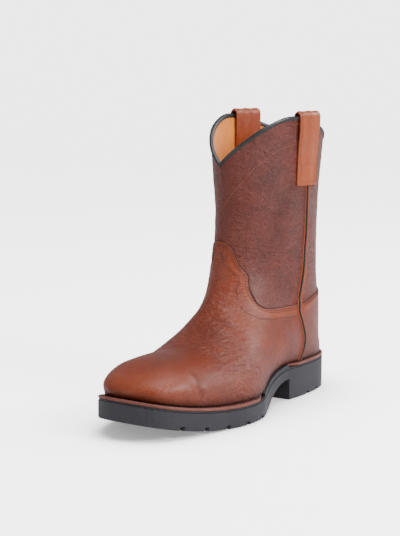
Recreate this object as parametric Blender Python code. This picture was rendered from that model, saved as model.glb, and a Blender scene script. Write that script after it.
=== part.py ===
# Western work boot, left foot, standing on its sole.
# The toe points along -Y, the outer (lateral) side is +X, the floor is z = 0.
# Inside this file a place on the boot is first given as (across, along, up):
# across from the line through heel back and toe tip, along from the heel back, up from the floor.

import math
import bpy
import bmesh
import numpy as np
from mathutils import Vector
from mathutils.bvhtree import BVHTree

MM = 0.001
CLEARANCE = 0.3 * MM

# Sole unit
SOLE_LENGTH = 305 * MM
BALL_WIDTH = 108 * MM
HEEL_LENGTH = 94 * MM
HEEL_HEIGHT = 29.7 * MM
BREAST_HEIGHT = 20 * MM
FOREFOOT_THICKNESS = 15.7 * MM
TOE_SPRING = 16.2 * MM
TREAD_BEVEL = 1.2 * MM
GROOVE_WIDTH = 5.4 * MM
GROOVE_DEPTH = 3.6 * MM
GROOVE_PITCH = 24.6 * MM
MIDSOLE_THICKNESS = 1.2 * MM
MIDSOLE_INSET = 0.7 * MM
WELT_THICKNESS = 2.6 * MM
INSOLE_THICKNESS = 2.5 * MM
INLAY_THICKNESS = 1.5 * MM

# How far the welt stands out past the upper, and the insole stays inside the leather
TOE_MARGIN = 9.5 * MM
HEEL_MARGIN = 3.5 * MM
SIDE_MARGIN = 5.0 * MM
INSOLE_MARGIN = 2.0 * MM

# Upper
INSTEP_HEIGHT = 91 * MM
LEG_HEIGHT = 153.5 * MM
SHAFT_WIDTH = 84 * MM
FRONT_DIP = 43 * MM
BACK_DIP = 24 * MM
WALL = 2.2 * MM
OVERLAY_STEP = 0.9 * MM
TOE_BULGE = 2.2 * MM
SHAFT_TWIST = math.radians(9)

# Trim
BINDING_DEPTH = 4.0 * MM
BINDING_THICKNESS = 0.8 * MM
PIPING_WIDTH = 2.6 * MM
PIPING_HEIGHT = 1.5 * MM
STRAP_WIDTH = 30 * MM
STRAP_THICKNESS = 2.2 * MM
STRAP_DROP = 64 * MM
STRAP_INNER_DROP = 52 * MM
STRAP_NECK = 10 * MM
LOOP_RISE = 3.6 * MM

# Places along the boot, as shares of the sole's length
BED_LEAD = 0.02             # how far behind the heel breast the bed starts to drop
ARCH_FRONT = 0.54
BED_FRONT = 0.59
BALL_PLACE = 0.672
VAMP_BACK = 0.22
BULGE_BACK = 0.885
BULGE_RUN = 0.092
BULGE_TOP = 0.285           # share of the instep height

# The shaft's turn: its axis as shares of the sole's length, its ends as shares of the height
TURN_ACROSS = 0.013
TURN_ALONG = 0.216
TURN_LOW = 0.226
TURN_HIGH = 0.528

# Arch panel: ends along the sole, then middle and half width at its narrow end as shares of
# the ball width, and how much each grows towards the forefoot
PANEL_BACK = 0.338
PANEL_FRONT = 0.456
PANEL_MIDDLE = (0.090, 0.015)
PANEL_HALF = (0.115, 0.030)

# Chevron grooves: how far they reach past the tread, and how far the tips trail, in pitches
GROOVE_REACH = 0.65
CHEVRON_TIP = 0.65
HEEL_TIP = 0.5
GROOVE_TAPER = 0.8

# Mesh: points below the widest place, share of half a section; sharpest angle shaded smooth
BELOW_WIDEST = 0.42
SMOOTH_ANGLE = math.radians(38)

# What is worked out from the sizes above
MIDSOLE_TOP = CLEARANCE + MIDSOLE_THICKNESS
WELT_TOP = MIDSOLE_TOP + CLEARANCE + WELT_THICKNESS
FEATHER_LIFT = WELT_TOP + CLEARANCE
COLLAR_HEIGHT = FOREFOOT_THICKNESS + FEATHER_LIFT + INSTEP_HEIGHT + LEG_HEIGHT
HEEL_WELT_END = HEEL_LENGTH
WELT_END = 0.53 * SOLE_LENGTH
WELD = 0.005 * MM

# Outline of the sole. Along is a share of the sole's length, full a share of half the ball
# width (times a round end), drift the shift of the middle as a share of the sole's length.
OUTLINE = np.array([
    # along, full,  drift
    (0.000, 1.270, 0.0000),
    (0.035, 1.310, 0.0066),
    (0.070, 1.200, 0.0100),
    (0.110, 1.090, 0.0128),
    (0.160, 0.990, 0.0138),
    (0.220, 0.893, 0.0160),
    (0.270, 0.802, 0.0215),
    (0.320, 0.713, 0.0255),
    (0.370, 0.664, 0.0330),
    (0.430, 0.680, 0.0395),
    (0.490, 0.785, 0.0425),
    (0.550, 0.917, 0.0428),
    (0.600, 0.995, 0.0385),
    (0.650, 1.045, 0.0340),
    (0.720, 1.070, 0.0260),
    (0.800, 1.130, 0.0170),
    (0.880, 1.205, 0.0128),
    (0.930, 1.290, 0.0110),
    (0.970, 1.350, 0.0075),
    (1.000, 1.240, 0.0000),
])

# Sections of the last and leg, from toe tip to collar. Each runs from a low point on the feather
# line or the back line to a high point on the vamp or the front line.
# low, high: places of the two points along the boot, as shares of the feather line's length;
# rise: low point's share of the back line's height, from feather to collar;
# instep, leg: high point's shares of the instep height and of the leg height;
# hug, wide: half width as shares of the feather's own and of half the shaft's width;
# widest: share of the section's height; crown, foot: roundness above and below it;
# lean_low, lean_high: sideways shift of the two points as shares of half the shaft's width.
SECTIONS = np.array([
    # row, low,    rise,   high,   instep, leg,   hug,  wide,  widest, crown, foot, lean_low, lean_high
    (0.0, 1.0000, 0.000, 1.0000, 0.000, 0.000, 1.02, 0.000, 0.30, 2.00, 2.00, 0.000, 0.000),
    (0.5, 0.9949, 0.000, 0.9962, 0.066, 0.000, 1.02, 0.000, 0.45, 2.00, 2.20, 0.000, 0.000),
    (1.0, 0.9795, 0.000, 0.9812, 0.130, 0.000, 1.02, 0.000, 0.44, 2.10, 2.30, 0.000, 0.000),
    (2.0, 0.9366, 0.000, 0.9384, 0.240, 0.000, 1.03, 0.000, 0.40, 2.20, 2.30, 0.000, 0.000),
    (3.0, 0.8682, 0.000, 0.8682, 0.360, 0.000, 1.03, 0.000, 0.36, 2.20, 2.30, 0.000, 0.000),
    (4.0, 0.7894, 0.000, 0.7825, 0.420, 0.000, 1.03, 0.000, 0.34, 2.10, 2.30, 0.000, 0.000),
    (5.0, 0.7003, 0.000, 0.6866, 0.465, 0.000, 1.03, 0.000, 0.32, 2.00, 2.30, 0.000, 0.012),
    (6.0, 0.5976, 0.000, 0.5976, 0.608, 0.000, 1.00, 0.039, 0.29, 1.90, 2.20, 0.000, 0.020),
    (7.0, 0.4880, 0.000, 0.5301, 0.798, 0.000, 0.75, 0.296, 0.28, 1.85, 2.20, 0.000, 0.040),
    (8.0, 0.3579, 0.000, 0.4818, 1.000, 0.000, 0.40, 0.591, 0.30, 1.80, 2.20, 0.000, 0.060),
    (9.0, 0.2003, 0.000, 0.4613, 1.000, 0.118, 0.10, 0.861, 0.34, 1.80, 2.20, 0.000, 0.050),
    (10., 0.0634, 0.000, 0.4555, 1.000, 0.239, 0.00, 0.926, 0.38, 1.80, 2.15, 0.000, 0.048),
    (11., 0.0000, 0.000, 0.4524, 1.000, 0.311, 0.00, 0.951, 0.42, 1.82, 2.10, 0.000, 0.048),
    (12., 0.0045, 0.104, 0.4483, 1.000, 0.363, 0.00, 0.939, 0.44, 1.85, 2.00, 0.036, 0.048),
    (13., 0.0237, 0.217, 0.4445, 1.000, 0.415, 0.00, 0.938, 0.45, 1.90, 2.00, 0.060, 0.048),
    (14., 0.0398, 0.347, 0.4411, 1.000, 0.474, 0.00, 0.926, 0.46, 1.92, 2.00, 0.071, 0.048),
    (15., 0.0413, 0.520, 0.4445, 1.000, 0.552, 0.00, 0.939, 0.47, 1.95, 2.00, 0.071, 0.048),
    (16., 0.0308, 0.728, 0.4527, 1.000, 0.643, 0.00, 0.964, 0.48, 1.98, 2.00, 0.071, 0.048),
    (17., 0.0149, 0.923, 0.4630, 1.000, 0.721, 0.00, 0.990, 0.49, 2.00, 2.00, 0.071, 0.048),
])
HEEL_ROW = 11.0
SCALLOP_ROW = 14.5          # the collar's scallop fades out from the collar down to this row
COLLAR_ROW = 17.0

# Collar line from the middle of the front (0) to the middle of the back (1)
COLLAR = np.array([
    # round, front, back   (shares of the front and back dips below the highest point)
    (0.00, 1.00, 0.00),
    (0.08, 0.81, 0.00),
    (0.20, 0.52, 0.00),
    (0.35, 0.19, 0.00),
    (0.50, 0.00, 0.00),
    (0.62, 0.00, 0.12),
    (0.75, 0.00, 0.50),
    (0.88, 0.00, 0.88),
    (1.00, 0.00, 1.00),
])

# Side seam, the same on both sides: up is a share of the collar's height
SIDE_SEAM = np.array([
    # up,   along
    (0.120, 0.252),
    (0.136, 0.246),
    (0.177, 0.228),
    (0.204, 0.223),
    (0.230, 0.226),
    (0.270, 0.238),
    (0.309, 0.246),
    (0.343, 0.238),
    (0.400, 0.222),
    (0.475, 0.208),
    (0.570, 0.200),
    (0.762, 0.200),
    (1.000, 0.202),
])

# Top edge of the vamp seen from the front: across is a share of half the shaft's width
VAMP_EDGE = np.array([
    # across, up
    (0.00, 0.569),
    (0.10, 0.569),
    (0.20, 0.564),
    (0.30, 0.552),
    (0.36, 0.532),
    (0.41, 0.508),
    (0.49, 0.482),
    (0.57, 0.462),
    (0.61, 0.450),
    (0.62, 0.432),
    (0.66, 0.404),
    (0.72, 0.378),
    (0.80, 0.355),
    (0.88, 0.341),
    (0.96, 0.334),
    (1.90, 0.330),
])

# Top edge of the counter seen from the side
COUNTER_EDGE = np.array([
    # along, up
    (0.240, 0.332),
    (0.200, 0.342),
    (0.150, 0.358),
    (0.090, 0.370),
    (-0.10, 0.376),
])

# Tread grooves: knees and apex of each chevron, as shares of the ball width
CHEVRONS = np.array([
    # outer knee, apex, inner knee
    (0.205, 0.055, -0.134),
    (0.215, 0.070, -0.130),
    (0.245, 0.085, -0.150),
    (0.265, 0.120, -0.100),
    (0.295, 0.125, -0.090),
])
FIRST_CHEVRON = 0.881
HEEL_CHEVRONS = np.array([
    # along, outer knee, apex, inner knee
    (0.202, 0.063, -0.150, -0.290),
    (0.137, 0.081, -0.060, -0.210),
])

LEATHER_SHAFT = ((0.235, 0.085, 0.052, 1), 0.45)
LEATHER_WELT = ((0.270, 0.105, 0.070, 1), 0.60)
LEATHER_STRAP = ((0.330, 0.110, 0.050, 1), 0.50)
LEATHER_INSOLE = ((0.560, 0.290, 0.120, 1), 0.70)
LEATHER_BLACK = ((0.020, 0.018, 0.020, 1), 0.50)
RUBBER_BLACK = ((0.030, 0.029, 0.034, 1), 0.70)
RUBBER_ORANGE = ((0.800, 0.070, 0.015, 1), 0.55)


def smooth(table, column, where):
    """Value of one column at a place in the first column, along a smooth curve."""
    t = table[:, 0]
    y = table[:, column]
    step = np.diff(t)
    slope = np.diff(y) / step
    tangent = np.empty_like(y)
    tangent[0], tangent[-1] = slope[0], slope[-1]
    tangent[1:-1] = (slope[:-1] * step[1:] + slope[1:] * step[:-1]) / (step[1:] + step[:-1])
    i = np.clip(np.searchsorted(t, where, side='right') - 1, 0, len(t) - 2)
    h = step[i]
    a = (where - t[i]) / h
    return ((2 * a**3 - 3 * a**2 + 1) * y[i] + (a**3 - 2 * a**2 + a) * h * tangent[i]
            + (3 * a**2 - 2 * a**3) * y[i + 1] + (a**3 - a**2) * h * tangent[i + 1])


def ramp(low, high, value):
    """Soft step from 0 at low to 1 at high."""
    k = np.clip((value - low) / (high - low), 0, 1)
    return k * k * (3 - 2 * k)


def round_end(t):
    return 2 * np.sqrt(np.clip(t * (1 - t), 0, None))


def outline(t, heel_inset=0.0, toe_inset=0.0, side_inset=0.0):
    """Along, middle and half width of the sole's outline, or of one set in from it."""
    t = np.clip(t, 0, 1)
    along = heel_inset + t * (SOLE_LENGTH - heel_inset - toe_inset)
    half = (smooth(OUTLINE, 1, t) * BALL_WIDTH / 2 - side_inset) * round_end(t)
    return along, smooth(OUTLINE, 2, t) * SOLE_LENGTH, half


def box_middle():
    """Across place halfway between the sole's outermost and innermost points."""
    along, middle, half = outline(np.linspace(0, 1, 201))
    return ((middle + half).max() + (middle - half).min()) / 2


BOX_MIDDLE = box_middle()


def spring(along):
    ball = BALL_PLACE * SOLE_LENGTH
    return TOE_SPRING * np.clip((along - ball) / (SOLE_LENGTH - ball), 0, 1) ** 1.8


def bed(along):
    """Height of the rubber's upper face."""
    down = ramp(HEEL_LENGTH - BED_LEAD * SOLE_LENGTH, BED_FRONT * SOLE_LENGTH, along)
    return HEEL_HEIGHT + (FOREFOOT_THICKNESS - HEEL_HEIGHT) * down + spring(along)


def tread(along):
    """Height of the rubber's lower face: heel, arch, flat forefoot, toe spring."""
    arch = BREAST_HEIGHT * (1 - ramp(HEEL_LENGTH, ARCH_FRONT * SOLE_LENGTH, along))
    return np.where(along <= HEEL_LENGTH, 0.0, arch) + spring(along)


def feather(along):
    """Height of the line where the upper meets the welt."""
    return bed(along) + FEATHER_LIFT


def outline_at(along, heel_inset, toe_inset, side_inset):
    """Middle and half width of an outline at a place along the boot."""
    t = (along - heel_inset) / (SOLE_LENGTH - heel_inset - toe_inset)
    return outline(t, heel_inset, toe_inset, side_inset)[1:]


def feather_at(along):
    return outline_at(along, HEEL_MARGIN, TOE_MARGIN, SIDE_MARGIN)


def to_world(points):
    """From (across, along, up) to the boot's frame."""
    points = np.asarray(points, dtype=float)
    world = np.empty_like(points)
    world[..., 0] = points[..., 0] - BOX_MIDDLE
    world[..., 1] = SOLE_LENGTH / 2 - points[..., 1]
    world[..., 2] = points[..., 2]
    return world


def turned(points):
    """The shaft turns inwards about the ankle, more from ankle to calf."""
    points = np.array(points, dtype=float)
    pivot_across, pivot_along = TURN_ACROSS * SOLE_LENGTH, TURN_ALONG * SOLE_LENGTH
    angle = SHAFT_TWIST * ramp(TURN_LOW * COLLAR_HEIGHT, TURN_HIGH * COLLAR_HEIGHT, points[..., 2])
    across = points[..., 0] - pivot_across
    along = points[..., 1] - pivot_along
    points[..., 0] = pivot_across + across * np.cos(angle) - along * np.sin(angle)
    points[..., 1] = pivot_along + across * np.sin(angle) + along * np.cos(angle)
    return points


def feather_share(share):
    """Place along the boot at a share of the feather line's length."""
    return HEEL_MARGIN + share * (SOLE_LENGTH - HEEL_MARGIN - TOE_MARGIN)


def section(row, half_count):
    """One section of the last and leg: outer side, over the top, inner side."""
    (low, rise, high, instep, leg, hug, wide, widest, crown, foot,
     lean_low, lean_high) = [float(smooth(SECTIONS, c, row)) for c in range(1, 13)]
    half_shaft = SHAFT_WIDTH / 2
    low_along = feather_share(min(max(low, 0.0), 1.0))
    middle, feather_half, low_up = 0.0, 0.0, float(feather(HEEL_MARGIN))
    if row <= HEEL_ROW:
        middle, feather_half = (float(v) for v in feather_at(low_along))
        low_up = float(feather(low_along))
    else:
        low_up += rise * (COLLAR_HEIGHT - low_up)
    high_along = feather_share(min(high, 1.0))
    high_up = (FOREFOOT_THICKNESS + FEATHER_LIFT + float(spring(high_along))
               + instep * INSTEP_HEIGHT + leg * LEG_HEIGHT)
    low_point = np.array([middle + lean_low * half_shaft, low_along, low_up])
    high_point = np.array([lean_high * half_shaft, high_along, high_up])
    half = max(hug * feather_half + wide * half_shaft, feather_half, 1e-7)
    return section_points(low_point, high_point, half, feather_half / half,
                          widest, crown, foot, half_count)


def section_points(low, high, half, open_share, widest, crown, foot, half_count):
    """Points of one section between its low and high point; it opens below by a share."""
    below = round(BELOW_WIDEST * half_count)
    limit = math.acos(min(open_share, 1.0))
    swing = np.linspace(limit, 0, below + 1)
    bottom = math.sin(limit) if limit > 1e-6 else 1.0
    drop = np.sin(swing) / bottom if limit > 1e-6 else np.linspace(1, 0, below + 1)
    share_low = widest * (1 - drop ** (2 / foot))
    width_low = half * np.cos(swing)
    swing = np.linspace(0, math.pi / 2, half_count - below + 1)[1:]
    share_high = widest + (1 - widest) * np.sin(swing) ** (2 / crown)
    width_high = half * np.clip(np.cos(swing), 0, 1) ** (2 / crown)
    share = np.concatenate([share_low, share_high])
    width = np.concatenate([width_low, width_high])
    spine = low + share[:, None] * (high - low)
    side = np.zeros_like(spine)
    side[:, 0] = width
    return np.concatenate([spine + side, (spine - side)[::-1][1:]])


# The mesh's rows, closest together at the toe, the heel and the collar
ROWS = np.concatenate([
    [0, 0.25, 0.5, 0.75, 1, 1.33, 1.66],
    np.arange(2, 8.1, 0.5),
    [8.25, 8.5, 9, 9.5, 10, 10.3, 10.55, 10.75, 10.88, 10.96, 11],
    [12, 13, 14, 15, 16, 16.5, 16.7, 16.85, 17]])
HALF_COUNT = 20


def collar_up(half_count):
    around = np.abs(np.linspace(-1, 1, 2 * half_count + 1))
    return (COLLAR_HEIGHT - smooth(COLLAR, 1, around) * FRONT_DIP
            - smooth(COLLAR, 2, around) * BACK_DIP)


def skin_rows():
    """The outer surface of the upper as rows of points, from toe tip to collar."""
    rows = np.array([section(row, HALF_COUNT) for row in ROWS])
    lift = collar_up(HALF_COUNT) - rows[-1][:, 2]
    blend = ramp(SCALLOP_ROW, COLLAR_ROW, ROWS)
    rows[..., 2] += blend[:, None] * lift
    along, up = rows[..., 1], rows[..., 2]
    above = np.clip(up - feather(along), 0, None)
    front = np.clip((along / SOLE_LENGTH - BULGE_BACK) / BULGE_RUN, 0, 1) ** 2
    height = np.clip(above / (BULGE_TOP * INSTEP_HEIGHT), 0, 1)
    rows[..., 1] += TOE_BULGE * front * np.sin(np.pi * height)
    return rows


def outward(rows):
    """Unit normals of the surface at its points."""
    down = np.gradient(rows, axis=0)
    around = np.gradient(rows, axis=1)
    closed = ROWS >= HEEL_ROW
    wrap = (rows[closed, 1] - rows[closed, -2]) / 2
    around[closed, 0] = wrap
    around[closed, -1] = wrap
    normal = np.cross(around, down)
    length = np.linalg.norm(normal, axis=-1, keepdims=True)
    normal = normal / np.where(length < 1e-12, 1, length)
    normal[0] = (0, 1, 0)
    return normal


def surface_tree(rows):
    """Search tree of a surface given as rows of points."""
    count, width = rows.shape[:2]
    faces = [(i * width + j, i * width + j + 1, (i + 1) * width + j + 1, (i + 1) * width + j)
             for i in range(count - 1) for j in range(width - 1)]
    return BVHTree.FromPolygons([Vector(p) for p in rows.reshape(-1, 3)], faces)


SKIN = skin_rows()
SKIN_NORMALS = outward(SKIN)
COLLAR_NORMALS = SKIN_NORMALS[-1] * (1, 1, 0)
COLLAR_NORMALS /= np.linalg.norm(COLLAR_NORMALS, axis=-1, keepdims=True)
SKIN_TREE = surface_tree(SKIN)
LINING_TREE = surface_tree(SKIN - SKIN_NORMALS * WALL)


def on_skin(side, along, up, lift=0.0):
    """Point on the outside of the upper, lifted off it; side is 1 outer or -1 inner."""
    start = Vector((side * BALL_WIDTH, along, up))
    place, normal = SKIN_TREE.ray_cast(start, Vector((-side, 0, 0)))[:2]
    if normal.x * side < 0:
        normal = -normal
    return np.array(place + normal * lift)


def on_lining(side, along, up, lift=0.0):
    """Point on the inside of the upper, lifted off it into the boot."""
    start = Vector((0.05 * side * SHAFT_WIDTH, along, up))
    place, normal = LINING_TREE.ray_cast(start, Vector((side, 0, 0)))[:2]
    if normal.x * side > 0:
        normal = -normal
    return np.array(place + normal * lift)


def new_object(name, bm, finish, world=True):
    """Close, weld and link a mesh whose points are given as (across, along, up)."""
    bmesh.ops.remove_doubles(bm, verts=bm.verts, dist=WELD)
    bmesh.ops.holes_fill(bm, edges=[e for e in bm.edges if e.is_boundary], sides=0)
    if world:
        place_points(bm)
    bmesh.ops.recalc_face_normals(bm, faces=bm.faces)
    if bm.calc_volume(signed=True) < 0:
        bmesh.ops.reverse_faces(bm, faces=bm.faces)
    mesh = bpy.data.meshes.new(name)
    bm.to_mesh(mesh)
    bm.free()
    obj = bpy.data.objects.new(name, mesh)
    bpy.context.collection.objects.link(obj)
    if finish:
        mesh.materials.append(material(name, *finish))
        smooth_shading(mesh)
    return obj


def smooth_shading(mesh):
    mesh.shade_smooth()
    mesh.set_sharp_from_angle(angle=SMOOTH_ANGLE)


def place_points(bm):
    points = to_world([tuple(v.co) for v in bm.verts])
    for vert, point in zip(bm.verts, points):
        vert.co = point


def material(name, colour, roughness):
    mat = bpy.data.materials.new(name)
    mat.use_nodes = True
    shader = mat.node_tree.nodes['Principled BSDF']
    shader.inputs['Base Color'].default_value = colour
    shader.inputs['Roughness'].default_value = roughness
    shader.inputs['Metallic'].default_value = 0.0
    return mat


def grid(rings, close_path=False):
    """Mesh through rings of points, each ring closed on itself."""
    rings = np.asarray(rings, dtype=float)
    rings = np.concatenate([rings, rings[:, :1]], axis=1)
    if close_path:
        rings = np.concatenate([rings, rings[:1]])
    bm = bmesh.new()
    bmesh.ops.create_grid(bm, x_segments=rings.shape[1] - 1, y_segments=rings.shape[0] - 1, size=1.0)
    for vert, point in zip(bm.verts, rings.reshape(-1, 3)):
        vert.co = point
    return bm


def boolean(target, cutter, operation):
    modifier = target.modifiers.new(cutter.name, 'BOOLEAN')
    modifier.object = cutter
    modifier.operation = operation
    modifier.solver = 'EXACT'
    cutter.hide_render = True
    cutter.display_type = 'WIRE'


def baked(obj):
    """The object's mesh with its modifiers applied."""
    evaluated = obj.evaluated_get(bpy.context.evaluated_depsgraph_get())
    return bpy.data.meshes.new_from_object(evaluated)


def side_steps(count=52):
    """Shares of the outline's length, close together at heel and toe."""
    return 0.5 - 0.5 * np.cos(np.linspace(0, math.pi, count + 1))


def slab(shares, insets, low, high):
    """Rings of a layer of the sole; low and high give its heights along the boot."""
    along, middle, half = outline(shares, *insets)
    bottom, top = low(along), high(along)
    return np.array([
        [(m + h, a, b), (m + h, a, t), (m - h, a, t), (m - h, a, b)]
        for a, m, h, b, t in zip(along, middle, half, bottom, top)])


def groove_band(path, name):
    """A groove's cutter along a zigzag of (across, along) points on the tread."""
    path = np.array(path)
    steps = np.diff(path, axis=0)
    steps /= np.linalg.norm(steps, axis=1)[:, None]
    ahead = np.vstack([steps, steps[-1:]])
    behind = np.vstack([steps[:1], steps])
    bisector = ahead + behind
    bisector /= np.linalg.norm(bisector, axis=1)[:, None]
    stretch = 1 / np.sum(bisector * ahead, axis=1)
    offset = np.stack([-bisector[:, 1], bisector[:, 0]], axis=1) * (stretch * GROOVE_WIDTH / 2)[:, None]
    depth = spring(path[:, 1]) + GROOVE_DEPTH
    rings = []
    for point, edge, top in zip(path, offset, depth):
        rings.append([(*(point - edge), -HEEL_HEIGHT), (*(point - edge * GROOVE_TAPER), top),
                      (*(point + edge * GROOVE_TAPER), top), (*(point + edge), -HEEL_HEIGHT)])
    return new_object(name, grid(rings), None)


def chevron_paths():
    """Zigzags of the forefoot's and the heel's grooves, as (across, along) points."""
    reach = GROOVE_REACH * BALL_WIDTH
    first = FIRST_CHEVRON * SOLE_LENGTH
    for number, (outer, apex, inner) in enumerate(CHEVRONS * BALL_WIDTH):
        along = first - number * GROOVE_PITCH
        tip = along - CHEVRON_TIP * GROOVE_PITCH
        yield [(reach, along), (outer, along), (apex, tip), (inner, along), (-reach, along)]
    for share, outer, apex, inner in HEEL_CHEVRONS:
        along = share * SOLE_LENGTH
        tip = along - HEEL_TIP * GROOVE_PITCH
        yield [(reach, along), (outer * BALL_WIDTH, along), (apex * BALL_WIDTH, tip),
               (inner * BALL_WIDTH, along), (-reach, along)]


def arch_panel_rings(grow, low, high):
    """A plain tapered panel under the arch, wider towards the forefoot."""
    along = np.linspace(PANEL_BACK * SOLE_LENGTH - grow, PANEL_FRONT * SOLE_LENGTH + grow, 9)
    share = np.linspace(0, 1, 9)
    middle = (PANEL_MIDDLE[0] + PANEL_MIDDLE[1] * share) * BALL_WIDTH
    half = (PANEL_HALF[0] + PANEL_HALF[1] * share) * BALL_WIDTH + grow
    return np.array([
        [(m + h, a, b), (m + h, a, t), (m - h, a, t), (m - h, a, b)]
        for a, m, h, b, t in zip(along, middle, half, low(along), high(along))])


def make_outsole():
    breast = HEEL_LENGTH / SOLE_LENGTH
    shares = np.sort(np.concatenate([side_steps(), [breast, breast + 0.001, ARCH_FRONT]]))
    along, middle, half = outline(shares)
    low, high = tread(along), bed(along)
    tucked = np.maximum(half - TREAD_BEVEL, 0)
    rings = np.array([
        [(m + k, a, b), (m + h, a, b + TREAD_BEVEL), (m + h, a, t),
         (m - h, a, t), (m - h, a, b + TREAD_BEVEL), (m - k, a, b)]
        for a, m, h, k, b, t in zip(along, middle, half, tucked, low, high)])
    outsole = new_object('outsole', grid(rings), RUBBER_BLACK)
    for number, path in enumerate(chevron_paths()):
        boolean(outsole, groove_band(path, f'groove_cutter_{number}'), 'DIFFERENCE')
    pocket = arch_panel_rings(CLEARANCE, lambda a: tread(a) - BREAST_HEIGHT,
                              lambda a: tread(a) + INLAY_THICKNESS + 2 * CLEARANCE)
    boolean(outsole, new_object('pocket_cutter', grid(pocket), None), 'DIFFERENCE')


def make_arch_panel():
    rings = arch_panel_rings(0.0, lambda a: tread(a) + CLEARANCE,
                             lambda a: tread(a) + CLEARANCE + INLAY_THICKNESS)
    new_object('arch_panel', grid(rings), RUBBER_ORANGE)


def layer_steps(inset, back, front):
    """Outline shares of a layer whose height steps at two places along the boot."""
    places = np.array([back, back + 0.1 * MM, front - 0.1 * MM, front])
    places = (places - inset[0]) / (SOLE_LENGTH - inset[0] - inset[1])
    return np.sort(np.concatenate([side_steps(), places]))


def filled(along, back, front):
    """Top of the midsole, which fills up to the upper between the two welts."""
    waist = (along > back + 0.05 * MM) & (along < front - 0.05 * MM)
    return bed(along) + np.where(waist, WELT_TOP, MIDSOLE_TOP)


def make_midsole():
    inset = (MIDSOLE_INSET, MIDSOLE_INSET, MIDSOLE_INSET)
    ends = (HEEL_WELT_END + CLEARANCE, WELT_END - CLEARANCE)
    rings = slab(layer_steps(inset, *ends), inset, lambda a: bed(a) + CLEARANCE,
                 lambda a: filled(a, *ends))
    new_object('midsole', grid(rings), RUBBER_BLACK)


def make_insole():
    extra = WALL + INSOLE_MARGIN
    inset = (HEEL_MARGIN + extra, TOE_MARGIN + extra, SIDE_MARGIN + extra)
    ends = (HEEL_WELT_END - CLEARANCE, WELT_END + CLEARANCE)
    rings = slab(layer_steps(inset, *ends), inset, lambda a: filled(a, *ends) + CLEARANCE,
                 lambda a: feather(a) + INSOLE_THICKNESS)
    new_object('insole', grid(rings), LEATHER_INSOLE)


def make_welt(name, end, tips, insets):
    """A leather strip round one end of the boot, from its outer edge in to the lining."""
    share = np.sin(np.linspace(0, math.pi / 2, 25))
    edges = []
    for tip, inset in zip(tips, insets):
        along = end + (tip - end) * share
        middle, half = outline_at(along, *inset)
        outer = np.stack([middle + half, along], axis=1)
        inner = np.stack([middle - half, along], axis=1)
        edges.append(np.concatenate([outer, inner[::-1][1:]]))
    rings = []
    for (across, along), (across_in, along_in) in zip(*edges):
        low, low_in = bed(along) + MIDSOLE_TOP + CLEARANCE, bed(along_in) + MIDSOLE_TOP + CLEARANCE
        rings.append([(across, along, low), (across, along, low + WELT_THICKNESS),
                      (across_in, along_in, low_in + WELT_THICKNESS), (across_in, along_in, low_in)])
    new_object(name, grid(rings), LEATHER_WELT)


def make_welts():
    inner = (HEEL_MARGIN + WALL, TOE_MARGIN + WALL, SIDE_MARGIN + WALL)
    insets = ((0, 0, 0), inner)
    make_welt('welt', WELT_END, (SOLE_LENGTH, SOLE_LENGTH - inner[1]), insets)
    make_welt('heel_welt', HEEL_WELT_END, (0, inner[0]), insets)


def leather_layer(lift, raised=0.0):
    """The skin's points moved out or in, with its two edges kept at their own height."""
    points = SKIN + SKIN_NORMALS * lift
    points[-1] = SKIN[-1] + COLLAR_NORMALS * lift
    floor = ROWS <= HEEL_ROW
    for column in (0, -1):
        points[floor, column, 2] = SKIN[floor, column, 2] + raised
    return points


def leather_shell(name, outer, inner):
    """A closed wall between two layers, open at the collar and underneath."""
    bm = bmesh.new()
    for points in (outer, inner):
        made = bmesh.ops.create_grid(bm, x_segments=points.shape[1] - 1,
                                     y_segments=points.shape[0] - 1, size=1.0)
        for vert, point in zip(made['verts'], points.reshape(-1, 3)):
            vert.co = point
    bmesh.ops.remove_doubles(bm, verts=bm.verts, dist=WELD)
    middle = COLLAR_HEIGHT / 2
    for above in (False, True):
        edges = [e for e in bm.edges if e.is_boundary and (e.verts[0].co.z > middle) == above]
        bmesh.ops.bridge_loops(bm, edges=edges)
    return new_object(name, bm, None, world=False)


def prism(name, points, depth):
    """A flat outline pushed through by a depth."""
    bm = bmesh.new()
    face = bm.faces.new([bm.verts.new(p) for p in points])
    pushed = bmesh.ops.extrude_face_region(bm, geom=[face])['geom']
    verts = [g for g in pushed if isinstance(g, bmesh.types.BMVert)]
    bmesh.ops.translate(bm, verts=verts, vec=depth)
    return new_object(name, bm, None, world=False)


def overlay_region():
    """The space that the vamp in front and the counter behind take up."""
    reach = VAMP_EDGE[-1, 0] * SHAFT_WIDTH / 2
    front = VAMP_BACK * SOLE_LENGTH
    edge = [(x * SHAFT_WIDTH / 2, up * COLLAR_HEIGHT) for x, up in VAMP_EDGE]
    line = [(-x, up) for x, up in edge[::-1]] + edge[1:] + [(reach, 0), (-reach, 0)]
    vamp = prism('vamp_region', [(x, front, up) for x, up in line], (0, SOLE_LENGTH, 0))
    line = [(a * SOLE_LENGTH, up * COLLAR_HEIGHT) for a, up in COUNTER_EDGE]
    line += [(line[-1][0], 0), (line[0][0], 0)]
    counter = prism('counter_region', [(-reach, a, up) for a, up in line], (2 * reach, 0, 0))
    boolean(vamp, counter, 'UNION')
    return vamp


def make_upper():
    """One hollow wall; the vamp and the counter stand out from it by a step."""
    wall = leather_shell('wall', leather_layer(0), leather_layer(-WALL))
    step = leather_shell('step', leather_layer(OVERLAY_STEP, CLEARANCE / 2),
                         leather_layer(-WALL / 2, CLEARANCE / 2))
    boolean(step, overlay_region(), 'INTERSECT')
    boolean(wall, step, 'UNION')
    bm = bmesh.new()
    bm.from_mesh(baked(wall))
    for name in ('wall', 'step', 'vamp_region', 'counter_region'):
        bpy.data.objects.remove(bpy.data.objects[name])
    turn_points(bm)
    new_object('upper', bm, LEATHER_SHAFT)


def turn_points(bm):
    for vert, point in zip(bm.verts, turned([tuple(v.co) for v in bm.verts])):
        vert.co = point


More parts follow.
